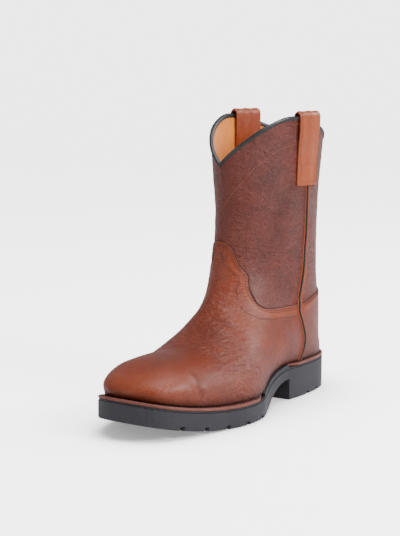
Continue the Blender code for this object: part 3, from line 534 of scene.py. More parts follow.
def plainSurface(name, look, **shaderInputs):
    # one colour broken up by a soft cloud, with a fine bump of a real size
    material, tree, shader = startMaterial(name, **shaderInputs)
    place = addNode(tree, "TexCoord").outputs["Object"]
    cloud = addNode(tree, "TexNoise", {"Scale": 1 / look["cloud"], "Detail": 4.0, "Roughness": 0.6},
                    {"Vector": place})
    colour = addNode(tree, "MixRGB", {"Color1": srgb(look["dark"]), "Color2": srgb(look["light"])},
                     {"Fac": cloud.outputs["Fac"]})
    tree.links.new(colour.outputs[0], shader.inputs["Base Color"])
    grit = addNode(tree, "TexNoise", {"Scale": 1 / look["grit"], "Detail": 3.0}, {"Vector": place})
    rough = addNode(tree, "MapRange", {"To Min": look["rough"] - 0.07, "To Max": look["rough"] + 0.07},
                    {"Value": grit.outputs["Fac"]})
    tree.links.new(rough.outputs[0], shader.inputs["Roughness"])
    bump = addNode(tree, "Bump", {"Strength": 1.0, "Distance": look["depth"]},
                   {"Height": grit.outputs["Fac"]})
    tree.links.new(bump.outputs[0], shader.inputs["Normal"])
    return material


# the shaft is softer hide with a deep, wide pebble; it reads redder and less glossy than the vamp
shaftLook = {
    "dark": "#50190f", "light": "#702818", "bloom": "#823c2c", "warm": "#7c2f10", "burnishShadeColour": "#250602",
    "grain": 2.6 * mm, "grainStretch": 1.9, "grainDepth": 0.40 * mm, "mottle": 0.5, "valley": 0.34,
    "ripple": 5.5 * mm, "rippleStretch": 2.3, "rippleDepth": 3.8 * mm, "rough": 0.44, "wax": 0.12,
}
# the vamp is firmer hide, lasted tight, so its grain is drawn smooth and its wax shows orange
vampLook = {
    "dark": "#571608", "light": "#75280c", "bloom": "#843718", "warm": "#8c3608", "burnishShadeColour": "#2c0900",
    "grain": 1.5 * mm, "grainStretch": 1.2, "grainDepth": 0.12 * mm, "mottle": 0.4, "valley": 0.14,
    "ripple": 7 * mm, "rippleStretch": 2.0, "rippleDepth": 2.4 * mm, "rough": 0.42, "wax": 0.12,
}
# straps are thinner, paler hide with lengthwise grain
strapHide = {
    "dark": "#802c06", "light": "#9c430e", "bloom": "#b2581c", "warm": "#b05410", "burnishShadeColour": "#360d02",
    "grain": 1.2 * mm, "grainStretch": 0.7, "grainDepth": 0.07 * mm, "mottle": 0.4, "valley": 0.10,
    "ripple": 5 * mm, "rippleStretch": 0.3, "rippleDepth": 0.9 * mm, "rough": 0.42, "wax": 0.18,
}
shaftLeather = oiledLeather("oiledShaftLeather", shaftLook)
vampLeather = oiledLeather("oiledVampLeather", vampLook)
strapLeather = oiledLeather("oiledStrapLeather", strapHide)
# vegetable-tanned split, pale tan, brushed: dry and slightly napped
liningLeather = plainSurface("tanLiningLeather", {
    "dark": "#d06c10", "light": "#f0962a", "cloud": 18 * mm, "grit": 0.8 * mm, "rough": 0.78,
    "depth": 0.10 * mm}, Sheen_Weight=0.25)
# the same split on the sock, rubbed smoother
insoleLeather = plainSurface("insoleLeather", {
    "dark": "#a86a34", "light": "#c88a50", "cloud": 26 * mm, "grit": 0.7 * mm, "rough": 0.72,
    "depth": 0.08 * mm})
# dyed calf, rolled over the edge and polished: a thin light runs along its fold
bindingLeather = plainSurface("dyedBindingLeather", {
    "dark": "#080506", "light": "#171114", "cloud": 9 * mm, "grit": 0.7 * mm, "rough": 0.42,
    "depth": 0.04 * mm}, Coat_Weight=0.3, Coat_Roughness=0.22)
# the same calf round the cords of the side seams, dull
cordLeather = plainSurface("dyedCordLeather", {
    "dark": "#050304", "light": "#100b0d", "cloud": 9 * mm, "grit": 0.7 * mm, "rough": 0.6,
    "depth": 0.04 * mm})
# waxed welting leather, its edge trimmed and stained: matt, with darker and paler lengths
weltLeather = plainSurface("waxedWeltLeather", {
    "dark": "#54241a", "light": "#7c4030", "cloud": 12 * mm, "grit": 0.6 * mm, "rough": 0.58,
    "depth": 0.08 * mm})
# moulded nitrile rubber: matt charcoal with a dusty bloom
soleRubber = plainSurface("mouldedRubber", {
    "dark": "#19181d", "light": "#27262d", "cloud": 30 * mm, "grit": 0.45 * mm, "rough": 0.62,
    "depth": 0.03 * mm})
# the same rubber, smoother, in the moulded lines; it is blacker as a painted shade for the lines' channels
lineRubber = plainSurface("lineRubber", {
    "dark": "#08080a", "light": "#111114", "cloud": 20 * mm, "grit": 0.45 * mm, "rough": 0.5,
    "depth": 0.03 * mm})
# pigmented rubber poured into the arch: flat, bright orange
panelRubber = plainSurface("orangeRubber", {
    "dark": "#e5451c", "light": "#f2592b", "cloud": 14 * mm, "grit": 0.5 * mm, "rough": 0.55,
    "depth": 0.03 * mm})


def waxedThread(name, dark, light, rough):
    # twisted polyester, waxed: dull, with a faint change of tone from stitch to stitch
    return plainSurface(name, {"dark": dark, "light": light, "cloud": 3 * mm, "grit": 0.3 * mm,
                               "rough": rough, "depth": 0.04 * mm})


darkThread = waxedThread("waxedBrownThread", "#1c0a06", "#34140c", 0.6)
tanThread = waxedThread("waxedTanThread", "#855039", "#a36c50", 0.6)
blackThread = waxedThread("waxedBlackThread", "#131214", "#262428", 0.55)
print("materials")

# per-point tones that the leather materials read
toneLook = {
    # dark band along the welt, partly burnish and partly painted shade where the welt meets the upper: how
    # far it reaches up and how fast it falls off
    "weltReach": 6.5 * mm, "weltFall": 1.3,
    # warm wax on the toe and up the front of the leg
    "toeReach": 34 * mm, "toeWarm": 0.75, "frontWarm": 0.6,
    # painted shade along the top of the instep and the toe, and in the troughs of the creases
    "ridgeHalf": 24 * mm, "ridge": 0.34, "trough": 0.36,
    # painted shadow along a panel's cut edge, and the paler band beside it
    "cutHalf": 0.8 * mm, "cut": 0.9, "bandFrom": 7 * mm, "bandTo": 11 * mm, "band": 0.8,
}


def paintTones(piece, strength=1.0, edges=None):
    points = np.array([tuple(v.co) for v in piece.data.vertices])
    along, up = soleLength / 2 - points[:, 1], points[:, 2]
    share = along / soleLength
    above = np.clip(up - feather(along), 0, None)
    # burnish and painted shade in a band above the welt
    edge = np.exp(-(above / toneLook["weltReach"]) ** toneLook["weltFall"])
    toe = ramp(0.70, 0.95, share) * np.exp(-(above / toneLook["toeReach"]) ** 2)
    front = np.exp(-((up / collarHeight - 0.62) / 0.36) ** 2) * ramp(0.36, 0.46, share)
    warm = np.clip(toneLook["toeWarm"] * toe + toneLook["frontWarm"] * front, 0, 1)
    # painted shade along the top of the instep and the toe
    ridge = np.exp(-(points[:, 0] / toneLook["ridgeHalf"]) ** 2) * ramp(0.50, 0.60, share)
    edge = np.maximum(edge, toneLook["ridge"] * ridge * ramp(16 * mm, 40 * mm, above))
    # painted shade in the troughs of the creases
    trough = ramp(0.15 * mm, 1.2 * mm, -relief(fromWorld(points)))
    edge = np.maximum(edge, toneLook["trough"] * trough)
    if edges is not None:
        # a painted shadow along the cut edge, and a paler band between it and the second row of stitches
        line = toWorld(turned(np.asarray(edges)))
        apart = np.min([np.linalg.norm(points - p, axis=1) for p in line], axis=0)
        edge = np.maximum(edge, toneLook["cut"] * np.exp(-(apart / toneLook["cutHalf"]) ** 2))
        pale = 1 - ramp(toneLook["bandFrom"], toneLook["bandTo"], apart)
        warm = np.maximum(warm, toneLook["band"] * pale)
    # flex: how far the grain has folded into ripples, most over the instep and up the leg
    flex = ramp(0.25, 0.5, up / collarHeight) + np.exp(-((share - 0.60) / 0.13) ** 2)
    for name, values in (("burnishAndShade", edge * strength), ("warm", warm), ("flex", np.clip(flex, 0.15, 1))):
        attribute = piece.data.attributes.new(name, "FLOAT", "POINT")
        attribute.data.foreach_set("value", values.astype(np.float32))


# the leather wall, the lining inside it, and the vamp and counter laid over it
upperLook = {"leather": 1.2 * mm, "glue": 0.05 * mm, "step": 1.0 * mm, "sunk": 0.5 * mm, "foot": 0.15 * mm,
             "seamAlong": 0.222, "panelFront": 0.22}


def shell(name, outer, inner, material, slot, replaced=(), world=True):
    bm = bmesh.new()
    for points in (outer, inner):
        layGrid(bm, points)
    bmesh.ops.remove_doubles(bm, verts=bm.verts, dist=0.004 * mm)
    for above in (False, True):
        edges = [e for e in bm.edges if e.is_boundary and (e.verts[0].co.z > collarHeight / 2) == above]
        bmesh.ops.bridge_loops(bm, edges=edges)
    return finishPiece(name, bm, material, slot, replaced, world=world)


def prism(name, line, depth):
    bm = bmesh.new()
    face = bm.faces.new([bm.verts.new(p) for p in line])
    pushed = bmesh.ops.extrude_face_region(bm, geom=[face])["geom"]
    bmesh.ops.translate(bm, verts=[g for g in pushed if isinstance(g, bmesh.types.BMVert)], vec=depth)
    return finishPiece(name, bm, None, None, world=False)


def rounded(points, times=2):
    # corners of an open line cut off, as a knife follows them
    points = np.asarray(points, dtype=float)
    for _ in range(times):
        first = points[:-1] * 0.75 + points[1:] * 0.25
        second = points[:-1] * 0.25 + points[1:] * 0.75
        cut = np.stack([first, second], axis=1).reshape(-1, points.shape[1])
        points = np.concatenate([points[:1], cut, points[-1:]])
    return points


def spaced(line, count):
    length = np.concatenate([[0], np.cumsum(np.linalg.norm(np.diff(line, axis=0), axis=1))])
    places = np.linspace(0, length[-1], count)
    return np.stack([np.interp(places, length, line[:, k]) for k in range(line.shape[1])], axis=1)


# top edge of the vamp from the front: across as a share of half the shaft, up of the collar's height
vampEdge = np.array([
    (0.00, 0.569), (0.10, 0.569), (0.20, 0.564), (0.30, 0.552), (0.36, 0.532), (0.41, 0.508), (0.49, 0.482),
    (0.57, 0.462), (0.61, 0.450), (0.62, 0.432), (0.66, 0.404), (0.72, 0.378), (0.80, 0.355), (0.88, 0.341),
    (0.96, 0.334), (1.90, 0.330)])
vampLine = rounded(vampEdge, 3)
# top edge of the counter: along as a share of the sole, up of the collar's height
counterEdge = np.array([(0.240, 0.332), (0.200, 0.342), (0.150, 0.358), (0.090, 0.370), (-0.10, 0.376)])


def vampTop(across):
    return float(np.interp(across / halfShaft, vampLine[:, 0], vampLine[:, 1])) * collarHeight


def counterTop(along):
    share = np.interp(along / soleLength, counterEdge[::-1, 0], counterEdge[::-1, 1])
    return float(share) * collarHeight


def vampEdgePath(side, count=70):
    # along the vamp's top edge, from the middle of the front round to the side seam
    found = [onFront(side * across, vampTop(across)) for across in np.linspace(0, 0.66 * halfShaft, count)]
    for along in np.linspace(found[-1][0][1], upperLook["seamAlong"] * soleLength, count)[1:]:
        up = 0.36 * collarHeight
        # the edge's height follows from across, which depends on the height
        for _ in range(12):
            up += 0.6 * (vampTop(abs(onSide(side, along, up)[0][0])) - up)
        found.append(onSide(side, along, up))
    return np.array([f[0] for f in found]), np.array([f[1] for f in found])


# middle of the heel's round, from which the back of the boot is looked at
footMiddle = {"across": 4 * mm, "along": 100 * mm}


def beside(path, normals, apart, lift):
    # a line that runs beside another on the leather, at a distance below it
    ahead = np.gradient(path, axis=0)
    down = np.cross(normals, ahead)
    down /= np.linalg.norm(down, axis=1, keepdims=True)
    down *= -np.sign(down[:, 2].sum())
    points, facing = [], []
    for point in path + down * apart:
        place, normal = outsideTree.find_nearest(Vector(point))[:2]
        middle = Vector((footMiddle["across"], footMiddle["along"], point[2]))
        normal = -normal if normal.dot(Vector(point) - middle) < 0 else normal
        points.append(place + normal * lift)
        facing.append(normal)
    return np.array(points), np.array(facing)


# the counter: where its side ends and its round begins, its mesh, how far out the looks start, and
# the rounding of its top edge
counterLook = {"turnAt": 0.11, "sideColumns": 15, "backColumns": 61, "rows": 44, "outside": 120 * mm,
               "rounding": (0.97, 0.88, 0.66, 0.25)}


def makeCounter(front):
    # a patch round the heel: columns from the inner side to the outer, rows from the welt up
    turnAt = counterLook["turnAt"] * soleLength
    sides = np.linspace(front, turnAt, counterLook["sideColumns"] + 1)[:-1]
    places = [(-1, a, 0) for a in sides]
    places += [(0, turnAt, math.radians(t)) for t in np.linspace(-90, 90, counterLook["backColumns"])]
    places += [(1, a, 0) for a in sides[::-1]]
    low = float(feather(0)) + upperLook["foot"]
    columns, normals = [], []
    for side, along, angle in places:
        way = Vector((side, 0, 0)) if side else Vector((math.sin(angle), -math.cos(angle), 0))
        top = counterTop(along if side else along * (1 - math.cos(angle)))
        heights = low + (top - low) * np.linspace(0, 1, counterLook["rows"])
        starts = [Vector((footMiddle["across"], along, z)) + way * counterLook["outside"] for z in heights]
        hits = [outsideTree.ray_cast(start, -way)[:2] for start in starts]
        columns.append([tuple(h[0]) for h in hits])
        normals.append([tuple(h[1] if h[1].dot(way) > 0 else -h[1]) for h in hits])
    columns, normals = np.array(columns), np.array(normals)
    lifts = np.full(columns.shape[1], upperLook["step"])
    lifts[-len(counterLook["rounding"]):] = np.array(counterLook["rounding"]) * upperLook["step"]
    outer = columns + normals * lifts[:, None]
    inner = columns - normals * upperLook["sunk"]
    outer[:, 0, 2] = inner[:, 0, 2] = low
    bm = bmesh.new()
    ringGrid(bm, np.concatenate([outer, inner[:, ::-1]], axis=1))
    counter = finishPiece("counter", bm, vampLeather, "upper_leather", ("upper",))
    paintTones(counter, 1.0, columns[:, -1])
    return columns[:, -1], normals[:, -1]


def makeVamp(front):
    # a layer over the skin, cut along the vamp's edge by a prism pushed in from the front
    reach = vampEdge[-1, 0] * halfShaft
    half = [(x * halfShaft, up * collarHeight) for x, up in vampLine]
    whole = [(-x, up) for x, up in half[::-1]] + half[1:] + [(reach, 0), (-reach, 0)]
    space = prism("vampSpace", [(x, front, up) for x, up in whole], (0, soleLength, 0))
    blank = shell("vampBlank", layer(upperLook["step"], upperLook["foot"]),
                  layer(-upperLook["sunk"], upperLook["foot"]), None, None, world=False)
    cutBy(blank, space, "INTERSECT")
    edges = [vampEdgePath(side) for side in (1, -1)]
    vamp = finishPiece("vamp", settled(blank, space), vampLeather, "upper_leather", ("upper",))
    paintTones(vamp, 1.0, np.concatenate([e[0] for e in edges]))
    return edges


def makeUpper():
    leather = upperLook["leather"]
    wall = shell("quarterLeather", layer(0), layer(-leather), shaftLeather, "upper_leather", ("upper",))
    paintTones(wall)
    shell("lining", layer(-leather - upperLook["glue"]), layer(-last["wall"]), liningLeather,
          "insole_leather")
    front = upperLook["panelFront"] * soleLength
    return makeVamp(front) + [makeCounter(front - gap)]


def ribbon(bm, path, normals, profile):
    # a strip along a path: the profile's (sideways, outward) points carried along it
    path, normals = np.asarray(path), np.asarray(normals)
    ahead = np.gradient(path, axis=0)
    sideways = np.cross(normals, ahead)
    sideways /= np.linalg.norm(sideways, axis=1, keepdims=True)
    rings = [path + sideways * a + normals * b for a, b in profile]
    ringGrid(bm, np.stack(rings, axis=1))


def oval(halfWidth, halfHeight, count, up=0.0):
    turn = np.linspace(0, 2 * math.pi, count + 1)[:-1]
    return [(halfWidth * math.cos(t), up + halfHeight * math.sin(t)) for t in turn]


def roundedProfile(half, bottom, top, bevel, count=4):
    # a flat strip's section with its two upper edges rounded
    turn = np.linspace(0, math.pi / 2, count)
    right = [(half - bevel + bevel * math.cos(t), top - bevel + bevel * math.sin(t)) for t in turn]
    left = [(bevel - half - bevel * math.sin(t), top - bevel + bevel * math.cos(t)) for t in turn]
    return [(half, bottom)] + right + left + [(-half, bottom)]


def evenly(path, normals, pitch):
    # start, middle and end of each stitch, and the way it faces
    path, normals = np.asarray(path), np.asarray(normals)
    length = np.concatenate([[0], np.cumsum(np.linalg.norm(np.diff(path, axis=0), axis=1))])
    count = max(int(round(length[-1] / pitch)), 1)
    places = (np.arange(count) + 0.5) * length[-1] / count
    ends = np.clip(places[:, None] + np.array([-0.5, 0, 0.5]) * length[-1] / count, 0, length[-1])
    spots = np.stack([np.interp(ends, length, path[:, k]) for k in range(3)], axis=-1)
    facing = np.stack([np.interp(places, length, normals[:, k]) for k in range(3)], axis=-1)
    return spots, facing / np.linalg.norm(facing, axis=1, keepdims=True)


threadLook = {"pitch": 2.6 * mm, "thick": 0.8 * mm, "share": 0.78, "raised": 0.12 * mm}


def stitches(bm, path, normals, pitch=threadLook["pitch"], thick=threadLook["thick"],
             share=threadLook["share"]):
    # each stitch is a short rounded length of thread, half pulled into the leather
    spots, facing = evenly(path, normals, pitch)
    for (start, middle, end), normal in zip(spots, facing):
        ahead = Vector(end - start)
        reach = ahead.length * share / 2
        ahead.normalize()
        out = Vector(normal)
        sideways = out.cross(ahead).normalized()
        out = ahead.cross(sideways)
        place = Matrix((sideways * thick / 2, out * thick / 2, ahead * reach)).transposed().to_4x4()
        place.translation = Vector(middle) + out * threadLook["raised"]
        bmesh.ops.create_icosphere(bm, subdivisions=1, radius=1.0, matrix=place)


# cord in the side seam and the bands of folded leather beside it
seamLook = {"cordHalf": 1.25 * mm, "cordRise": 1.3 * mm, "cordUp": 0.3 * mm, "lift": 0.15 * mm,
            "front": 2.7 * mm, "behind": 4.3 * mm, "thick": 0.7 * mm, "sunk": 0.5 * mm, "bevel": 0.45 * mm,
            "foot": 1.2 * mm, "strapFoot": 201.5 * mm, "underStrap": 2 * mm, "overCounter": 4 * mm,
            "stitchBehind": 3.2 * mm, "stitchFront": 1.7 * mm, "thread": 0.42 * mm}


def seamPath(side, lift, foot, head, aside=0.0, count=90):
    path, normals = [], []
    edge = counterEdge[1, 1] * collarHeight
    for up in np.linspace(foot, head, count):
        along = float(readTable(seamTable, 1, up / collarHeight)) * soleLength + aside
        raised = 1 - float(ramp(edge, edge + seamLook["overCounter"], up))
        place, normal = onSide(side, along, up, lift + upperLook["step"] * raised)
        path.append(place)
        normals.append(normal)
    return path, normals


def makeSideSeams():
    foot = float(feather(seamTable[0, 1] * soleLength)) + seamLook["foot"]
    head = seamLook["strapFoot"] + seamLook["underStrap"]
    cordHalf = seamLook["cordHalf"]
    for side, word in ((1, "Lateral"), (-1, "Medial")):
        name = "side_piping_" + word.lower()
        bm = bmesh.new()
        path, normals = seamPath(side, seamLook["lift"], foot, head)
        ribbon(bm, path, normals, oval(cordHalf, seamLook["cordRise"], 12, seamLook["cordUp"]))
        finishPiece("cord" + word, bm, cordLeather, "black_leather", (name,))
        bm = bmesh.new()
        for low, high in ((cordHalf, seamLook["behind"]), (-seamLook["front"], -cordHalf)):
            path, normals = seamPath(side, 0, foot, head, -(low + high) / 2)
            ribbon(bm, path, normals,
                   roundedProfile((high - low) / 2, -seamLook["sunk"], seamLook["thick"], seamLook["bevel"]))
        bands = finishPiece("seamBands" + word, bm, strapLeather, "strap_leather", (name,))
        paintTones(bands, 0.3)
        bm = bmesh.new()
        for aside in (-seamLook["stitchBehind"], seamLook["stitchFront"]):
            path, normals = seamPath(side, seamLook["thick"], foot + 2 * mm, seamLook["strapFoot"], aside)
            stitches(bm, path, normals, thick=seamLook["thread"])
        finishPiece("seamStitches" + word, bm, darkThread, "strap_leather", (name,), weld=0)


# collar binding: how far down it reaches, how thick it is, its turned hem and its rounded top
bindingLook = {"depth": 2.9 * mm, "thick": 0.75 * mm, "tuck": 0.3 * mm, "hem": 0.35 * mm, "roof": 1.25 * mm,
               "cuts": 9, "stitchUp": 0.9 * mm, "pitch": 1.9 * mm, "thread": 0.32 * mm}


def underCollar(points, depth):
    # the line on a layer that lies this far below the collar's edge, measured on the leather
    low = np.empty_like(points[-1])
    for column in range(points.shape[1]):
        line = points[::-1, column][:40]
        length = np.concatenate([[0], np.cumsum(np.linalg.norm(np.diff(line, axis=0), axis=1))])
        low[column] = [np.interp(depth, length, line[:, k]) for k in range(3)]
    return low


def makeBinding():
    depth, thick, hem = bindingLook["depth"], bindingLook["thick"], bindingLook["hem"]
    outer, inner = layer(0), layer(-last["wall"])
    way = collarNormals
    ahead = np.roll(outer[-1, :-1], -1, axis=0) - outer[-1, :-1]
    steep = np.linalg.norm(ahead, axis=1) / np.linalg.norm(ahead[:, :2], axis=1)
    steep = np.maximum(steep, np.roll(steep, 1))
    steep = np.append(steep, steep[0])[:, None]

    def leg(points, out):
        end = underCollar(points, depth)
        return [end - out * bindingLook["tuck"], end + out * hem,
                underCollar(points, depth - hem) + out * thick, underCollar(points, depth / 2) + out * thick]

    middle = (outer[-1] + inner[-1]) / 2
    arm = (outer[-1] - inner[-1]) / 2 + way * thick
    roof = np.array([0, 0, bindingLook["roof"]]) * steep
    turn = np.linspace(0, math.pi, bindingLook["cuts"])
    over = [middle + arm * math.cos(t) + roof * math.sin(t) for t in turn]
    rings = leg(outer, way) + over + leg(inner, -way)[::-1]
    bm = bmesh.new()
    ringGrid(bm, np.stack(rings, axis=1)[:-1], closed=True)
    finishPiece("binding", bm, bindingLeather, "black_leather", ("collar_binding",))
    bm = bmesh.new()
    path = underCollar(outer, depth - bindingLook["stitchUp"]) + way * (thick + 0.02 * mm)
    stitches(bm, path, way, bindingLook["pitch"], bindingLook["thread"])
    finishPiece("bindingStitches", bm, blackThread, "black_leather", ("collar_binding",), weld=0)


# pull straps, folded over the collar, their lower ends stitched down
strapLook = {"width": 31 * mm, "thick": 2.1 * mm, "drop": 63.5 * mm, "innerDrop": 52 * mm, "rise": 3.6 * mm,
             "bindingRoom": 1.7 * mm, "neck": 10 * mm, "low": 0.35 * mm, "across": 19, "outerCuts": 34,
             "overCuts": 17, "innerCuts": 24, "furrow": 0.30 * mm, "furrows": 7.5, "curlFrom": 0.86,
             "curl": 0.75 * mm, "waveSize": 14 * mm, "wave": 0.1 * mm, "pitch": 2.4 * mm, "thread": 0.5 * mm,
             "sideThread": 0.42 * mm}
# (row, column) corners of the stitched box at the strap's foot
strapBox = [(2, 2), (12, 2), (12, 16), (2, 16), (2, 2)]


def strapLine(side, along):
    # one lengthwise line of the strap's underside: up the outside, over the binding, down the inside
    low, neck = strapLook["low"], collarHeight - strapLook["neck"]

    def lifted(up):
        return low + (strapLook["bindingRoom"] - low) * float(ramp(neck - strapLook["width"], neck, up))

    rising = np.linspace(collarHeight - strapLook["drop"], neck, strapLook["outerCuts"])
    falling = np.linspace(neck, collarHeight - strapLook["innerDrop"], strapLook["innerCuts"])
    outer = [onSide(side, along, up, lifted(up))[0] for up in rising]
    inner = [inside(side, along, up, lifted(up)) for up in falling]
    centre, arm = (outer[-1] + inner[0]) / 2, (outer[-1] - inner[0]) / 2
    radius = np.linalg.norm(arm)
    centre[2] = collarHeight + strapLook["rise"] - radius
    over = [centre + arm * math.cos(t) + np.array([0, 0, radius * math.sin(t)])
            for t in np.linspace(0, math.pi, strapLook["overCuts"])]
    return outer + over + inner


def makeStraps():
    middle = seamTable[-1, 1] * soleLength
    shares = np.linspace(-0.5, 0.5, strapLook["across"])
    # lengthwise furrows from the fold, and edges that curl down
    across = shares * 2
    furrows = np.cos(across * strapLook["furrows"]) * (1 - across**2) * strapLook["furrow"]
    curlFrom = strapLook["curlFrom"]
    curl = np.clip((np.abs(across) - curlFrom) / (1 - curlFrom), 0, 1) ** 2 * strapLook["curl"]
    for side, word in ((1, "Lateral"), (-1, "Medial")):
        name = "pull_strap_" + word.lower()
        face = np.array([strapLine(side, middle + s * strapLook["width"]) for s in shares]).transpose(1, 0, 2)
        normal = np.cross(np.gradient(face, axis=0), np.gradient(face, axis=1))
        normal /= np.linalg.norm(normal, axis=-1, keepdims=True)
        normal *= np.sign(normal[0, 0, 0]) * side
        waves = slackness(face, strapLook["waveSize"], strapLook["wave"])
        outer = face + normal * (strapLook["thick"] + furrows - curl + waves)[..., None]
        bm = bmesh.new()
        ringGrid(bm, np.concatenate([face, outer[:, ::-1]], axis=1))
        paintTones(finishPiece("strap" + word, bm, strapLeather, "strap_leather", (name,)), 0)
        bm = bmesh.new()
        for (a, p), (b, q) in zip(strapBox, strapBox[1:]):
            steps = max(abs(a - b), abs(p - q)) + 1
            i = np.round(np.linspace(a, b, steps)).astype(int)
            j = np.round(np.linspace(p, q, steps)).astype(int)
            stitches(bm, outer[i, j], normal[i, j], strapLook["pitch"], strapLook["thread"])
        # one row along each side, from the box up over the fold
        rise = slice(strapBox[1][0], 44)
        for j in (1, len(shares) - 2):
            stitches(bm, outer[rise, j], normal[rise, j], thick=strapLook["sideThread"])
        finishPiece("strapStitches" + word, bm, darkThread, "strap_leather", (name,), weld=0)


# rows of stitches on the upper, in mm: the first two tables (across, up) over the front of the vamp,
# the third (along, up) over its side; then the shaft's, front and side
secondRow = [(0, 145.6), (2.6, 145.8), (4.6, 141), (6.4, 131.1), (16.2, 122.6), (21.6, 117.9),
             (20.4, 114.0), (19.9, 110.4)]
dropLoop = [(7.2, 146), (9.6, 144), (10.2, 138), (8.2, 132.4), (6.4, 136), (6.0, 142), (7.2, 146)]
wingRow = [(136.7, 110.5), (142.5, 97), (143.3, 91.2), (140.1, 86.7), (129.8, 81.3), (106.8, 80.2),
           (80, 78.4)]
shaftFrontRow = [(0, 178), (4.7, 186), (18.3, 203.6), (29.5, 221)]
shaftSideRow = [(117.4, 221.6), (102.5, 234), (90, 238), (77.8, 240)]
rowLook = {"besideEdge": (1.9 * mm, 3.7 * mm), "shadowCordUp": 0.45 * mm, "shadowCord": 0.5 * mm,
           "shaftPitch": 2.3 * mm, "shaftThread": 0.45 * mm}


def sideLine(side, table, lift, count):
    # (along, up) points in mm over one side of the boot
    line = spaced(rounded(np.array(table, dtype=float) * mm), count)
    found = [onSide(side, a, up, lift) for a, up in line]
    return [f[0] for f in found], [f[1] for f in found]


def frontLine(side, table, lift, count):
    # (across, up) points in mm over the front of the boot, its outer or its inner half
    line = spaced(rounded(np.array(table, dtype=float) * mm), count)
    found = [onFront(side * a, up, lift) for a, up in line]
    return [f[0] for f in found], [f[1] for f in found]


def makeUpperStitches(edges):
    lift = upperLook["step"]
    threads, shadowCord = bmesh.new(), bmesh.new()
    for path, normals in edges:
        for apart in rowLook["besideEdge"]:
            stitches(threads, *beside(path, normals, apart, lift))
        # a thin dark cord along the foot of the vamp's edge: a painted shadow under the step
        half = rowLook["shadowCord"]
        ribbon(shadowCord, path + normals * rowLook["shadowCordUp"], normals, oval(half, half, 8))
    finishPiece("edgeStitches", threads, darkThread, "upper_leather", ("upper",), weld=0)
    finishPiece("edgeShadowCord", shadowCord, darkThread, "upper_leather", ("upper",))
    fancy, shaft = bmesh.new(), bmesh.new()
    for side in (1, -1):
        for table in (secondRow, dropLoop):
            stitches(fancy, *frontLine(side, table, lift, 50))
        stitches(fancy, *sideLine(side, wingRow, lift, 90))
        for path, normals in (frontLine(side, shaftFrontRow, 0, 50), sideLine(side, shaftSideRow, 0, 40)):
            stitches(shaft, path, normals, rowLook["shaftPitch"], rowLook["shaftThread"])
    finishPiece("fancyStitches", fancy, darkThread, "upper_leather", ("upper",), weld=0)
    finishPiece("shaftStitches", shaft, tanThread, "upper_leather", ("upper",), weld=0)


panelEdges = makeUpper()
print("upper, lining, vamp and counter")
makeSideSeams()
makeBinding()
makeStraps()
makeUpperStitches(panelEdges)
print("seams, binding, straps and stitches")

# welts with rounded edges, a groove and a row of lock stitches
weltLook = {"thick": 2.6 * mm, "bevel": 0.9 * mm, "midsole": 1.2 * mm, "foreEnd": 0.53, "pared": 16 * mm,
            "paredShare": 0.75, "stitchIn": 2.6 * mm, "grooveHalf": 0.8 * mm, "groove": 0.35 * mm,
            "pitch": 4.2 * mm, "thread": 1.0 * mm, "threadSunk": 0.1 * mm, "cuts": 70, "bevelCuts": 6}


def makeWelt(name, end, tip, innerTip, innerInset, node):
    low = weltLook["midsole"] + 2 * gap
    share = np.sin(np.linspace(0, math.pi / 2, weltLook["cuts"]))
    edges = []
    for edgeTip, inset in ((tip, (0, 0, 0)), (innerTip, innerInset)):
        along = end + (edgeTip - end) * share
        middle, half = outlineAt(along, inset)
        edges.append(np.concatenate([np.stack([middle + half, along], axis=1),
                                     np.stack([middle - half, along], axis=1)[::-1][1:]]))
    outer, inner = edges
    # pared down at its ends to a tip beside the upper
    pared = weltLook["paredShare"] * (1 - ramp(0, weltLook["pared"], np.abs(outer[:, 1] - end)))
    outer = outer + (inner - outer) * pared[:, None]
    width = np.linalg.norm(inner - outer, axis=1, keepdims=True)
    inward = (inner - outer) / width

    def at(depth, height):
        flat = outer + inward * np.minimum(depth, 0.9 * width)
        return np.column_stack([flat, bed(flat[:, 1]) + low + height])

    thick, bevel, stitchIn = weltLook["thick"], weltLook["bevel"], weltLook["stitchIn"]
    turn = np.linspace(0, math.pi / 2, weltLook["bevelCuts"])
    rings = [at(bevel - bevel * math.cos(t), bevel - bevel * math.sin(t)) for t in turn[::-1]]
    rings += [at(bevel - bevel * math.cos(t), thick - bevel + bevel * math.sin(t)) for t in turn]
    rings += [at(stitchIn - weltLook["grooveHalf"], thick), at(stitchIn, thick - weltLook["groove"]),
              at(stitchIn + weltLook["grooveHalf"], thick)]
    rings += [np.column_stack([inner, bed(inner[:, 1]) + low + h]) for h in (thick, 0)]
    bm = bmesh.new()
    ringGrid(bm, np.stack(rings, axis=1))
    finishPiece(name, bm, weltLeather, "welt_leather", (node,), turn=False)
    bm = bmesh.new()
    path = at(stitchIn, thick - weltLook["threadSunk"])[1:-1]
    up = np.tile((0.0, 0.0, 1.0), (len(path), 1))
    stitches(bm, path, up, weltLook["pitch"], weltLook["thread"])
    finishPiece(name + "Stitches", bm, darkThread, "welt_leather", (node,), turn=False, weld=0)


def makeWelts():
    innerInset = tuple(i + last["wall"] for i in featherInset)
    foreEnd = weltLook["foreEnd"] * soleLength
    makeWelt("foreWelt", foreEnd, soleLength, soleLength - innerInset[1], innerInset, "welt")
    makeWelt("heelWelt", last["heelLength"], 0.0, innerInset[0], innerInset, "heel_welt")


# the tread's fine lines, studs and stitches, seen when the boot is turned over
treadLook = {"line": 0.9 * mm, "proud": 0.12 * mm, "cuts": 260, "stud": 2.6 * mm, "studRise": 0.2 * mm,
             "flat": 0.3 * mm, "stitchFrom": 0.52, "stitchIn": 7.5 * mm, "stitchSunk": 0.35 * mm,
             "pitch": 4.5 * mm, "thread": 0.9 * mm, "share": 0.6}
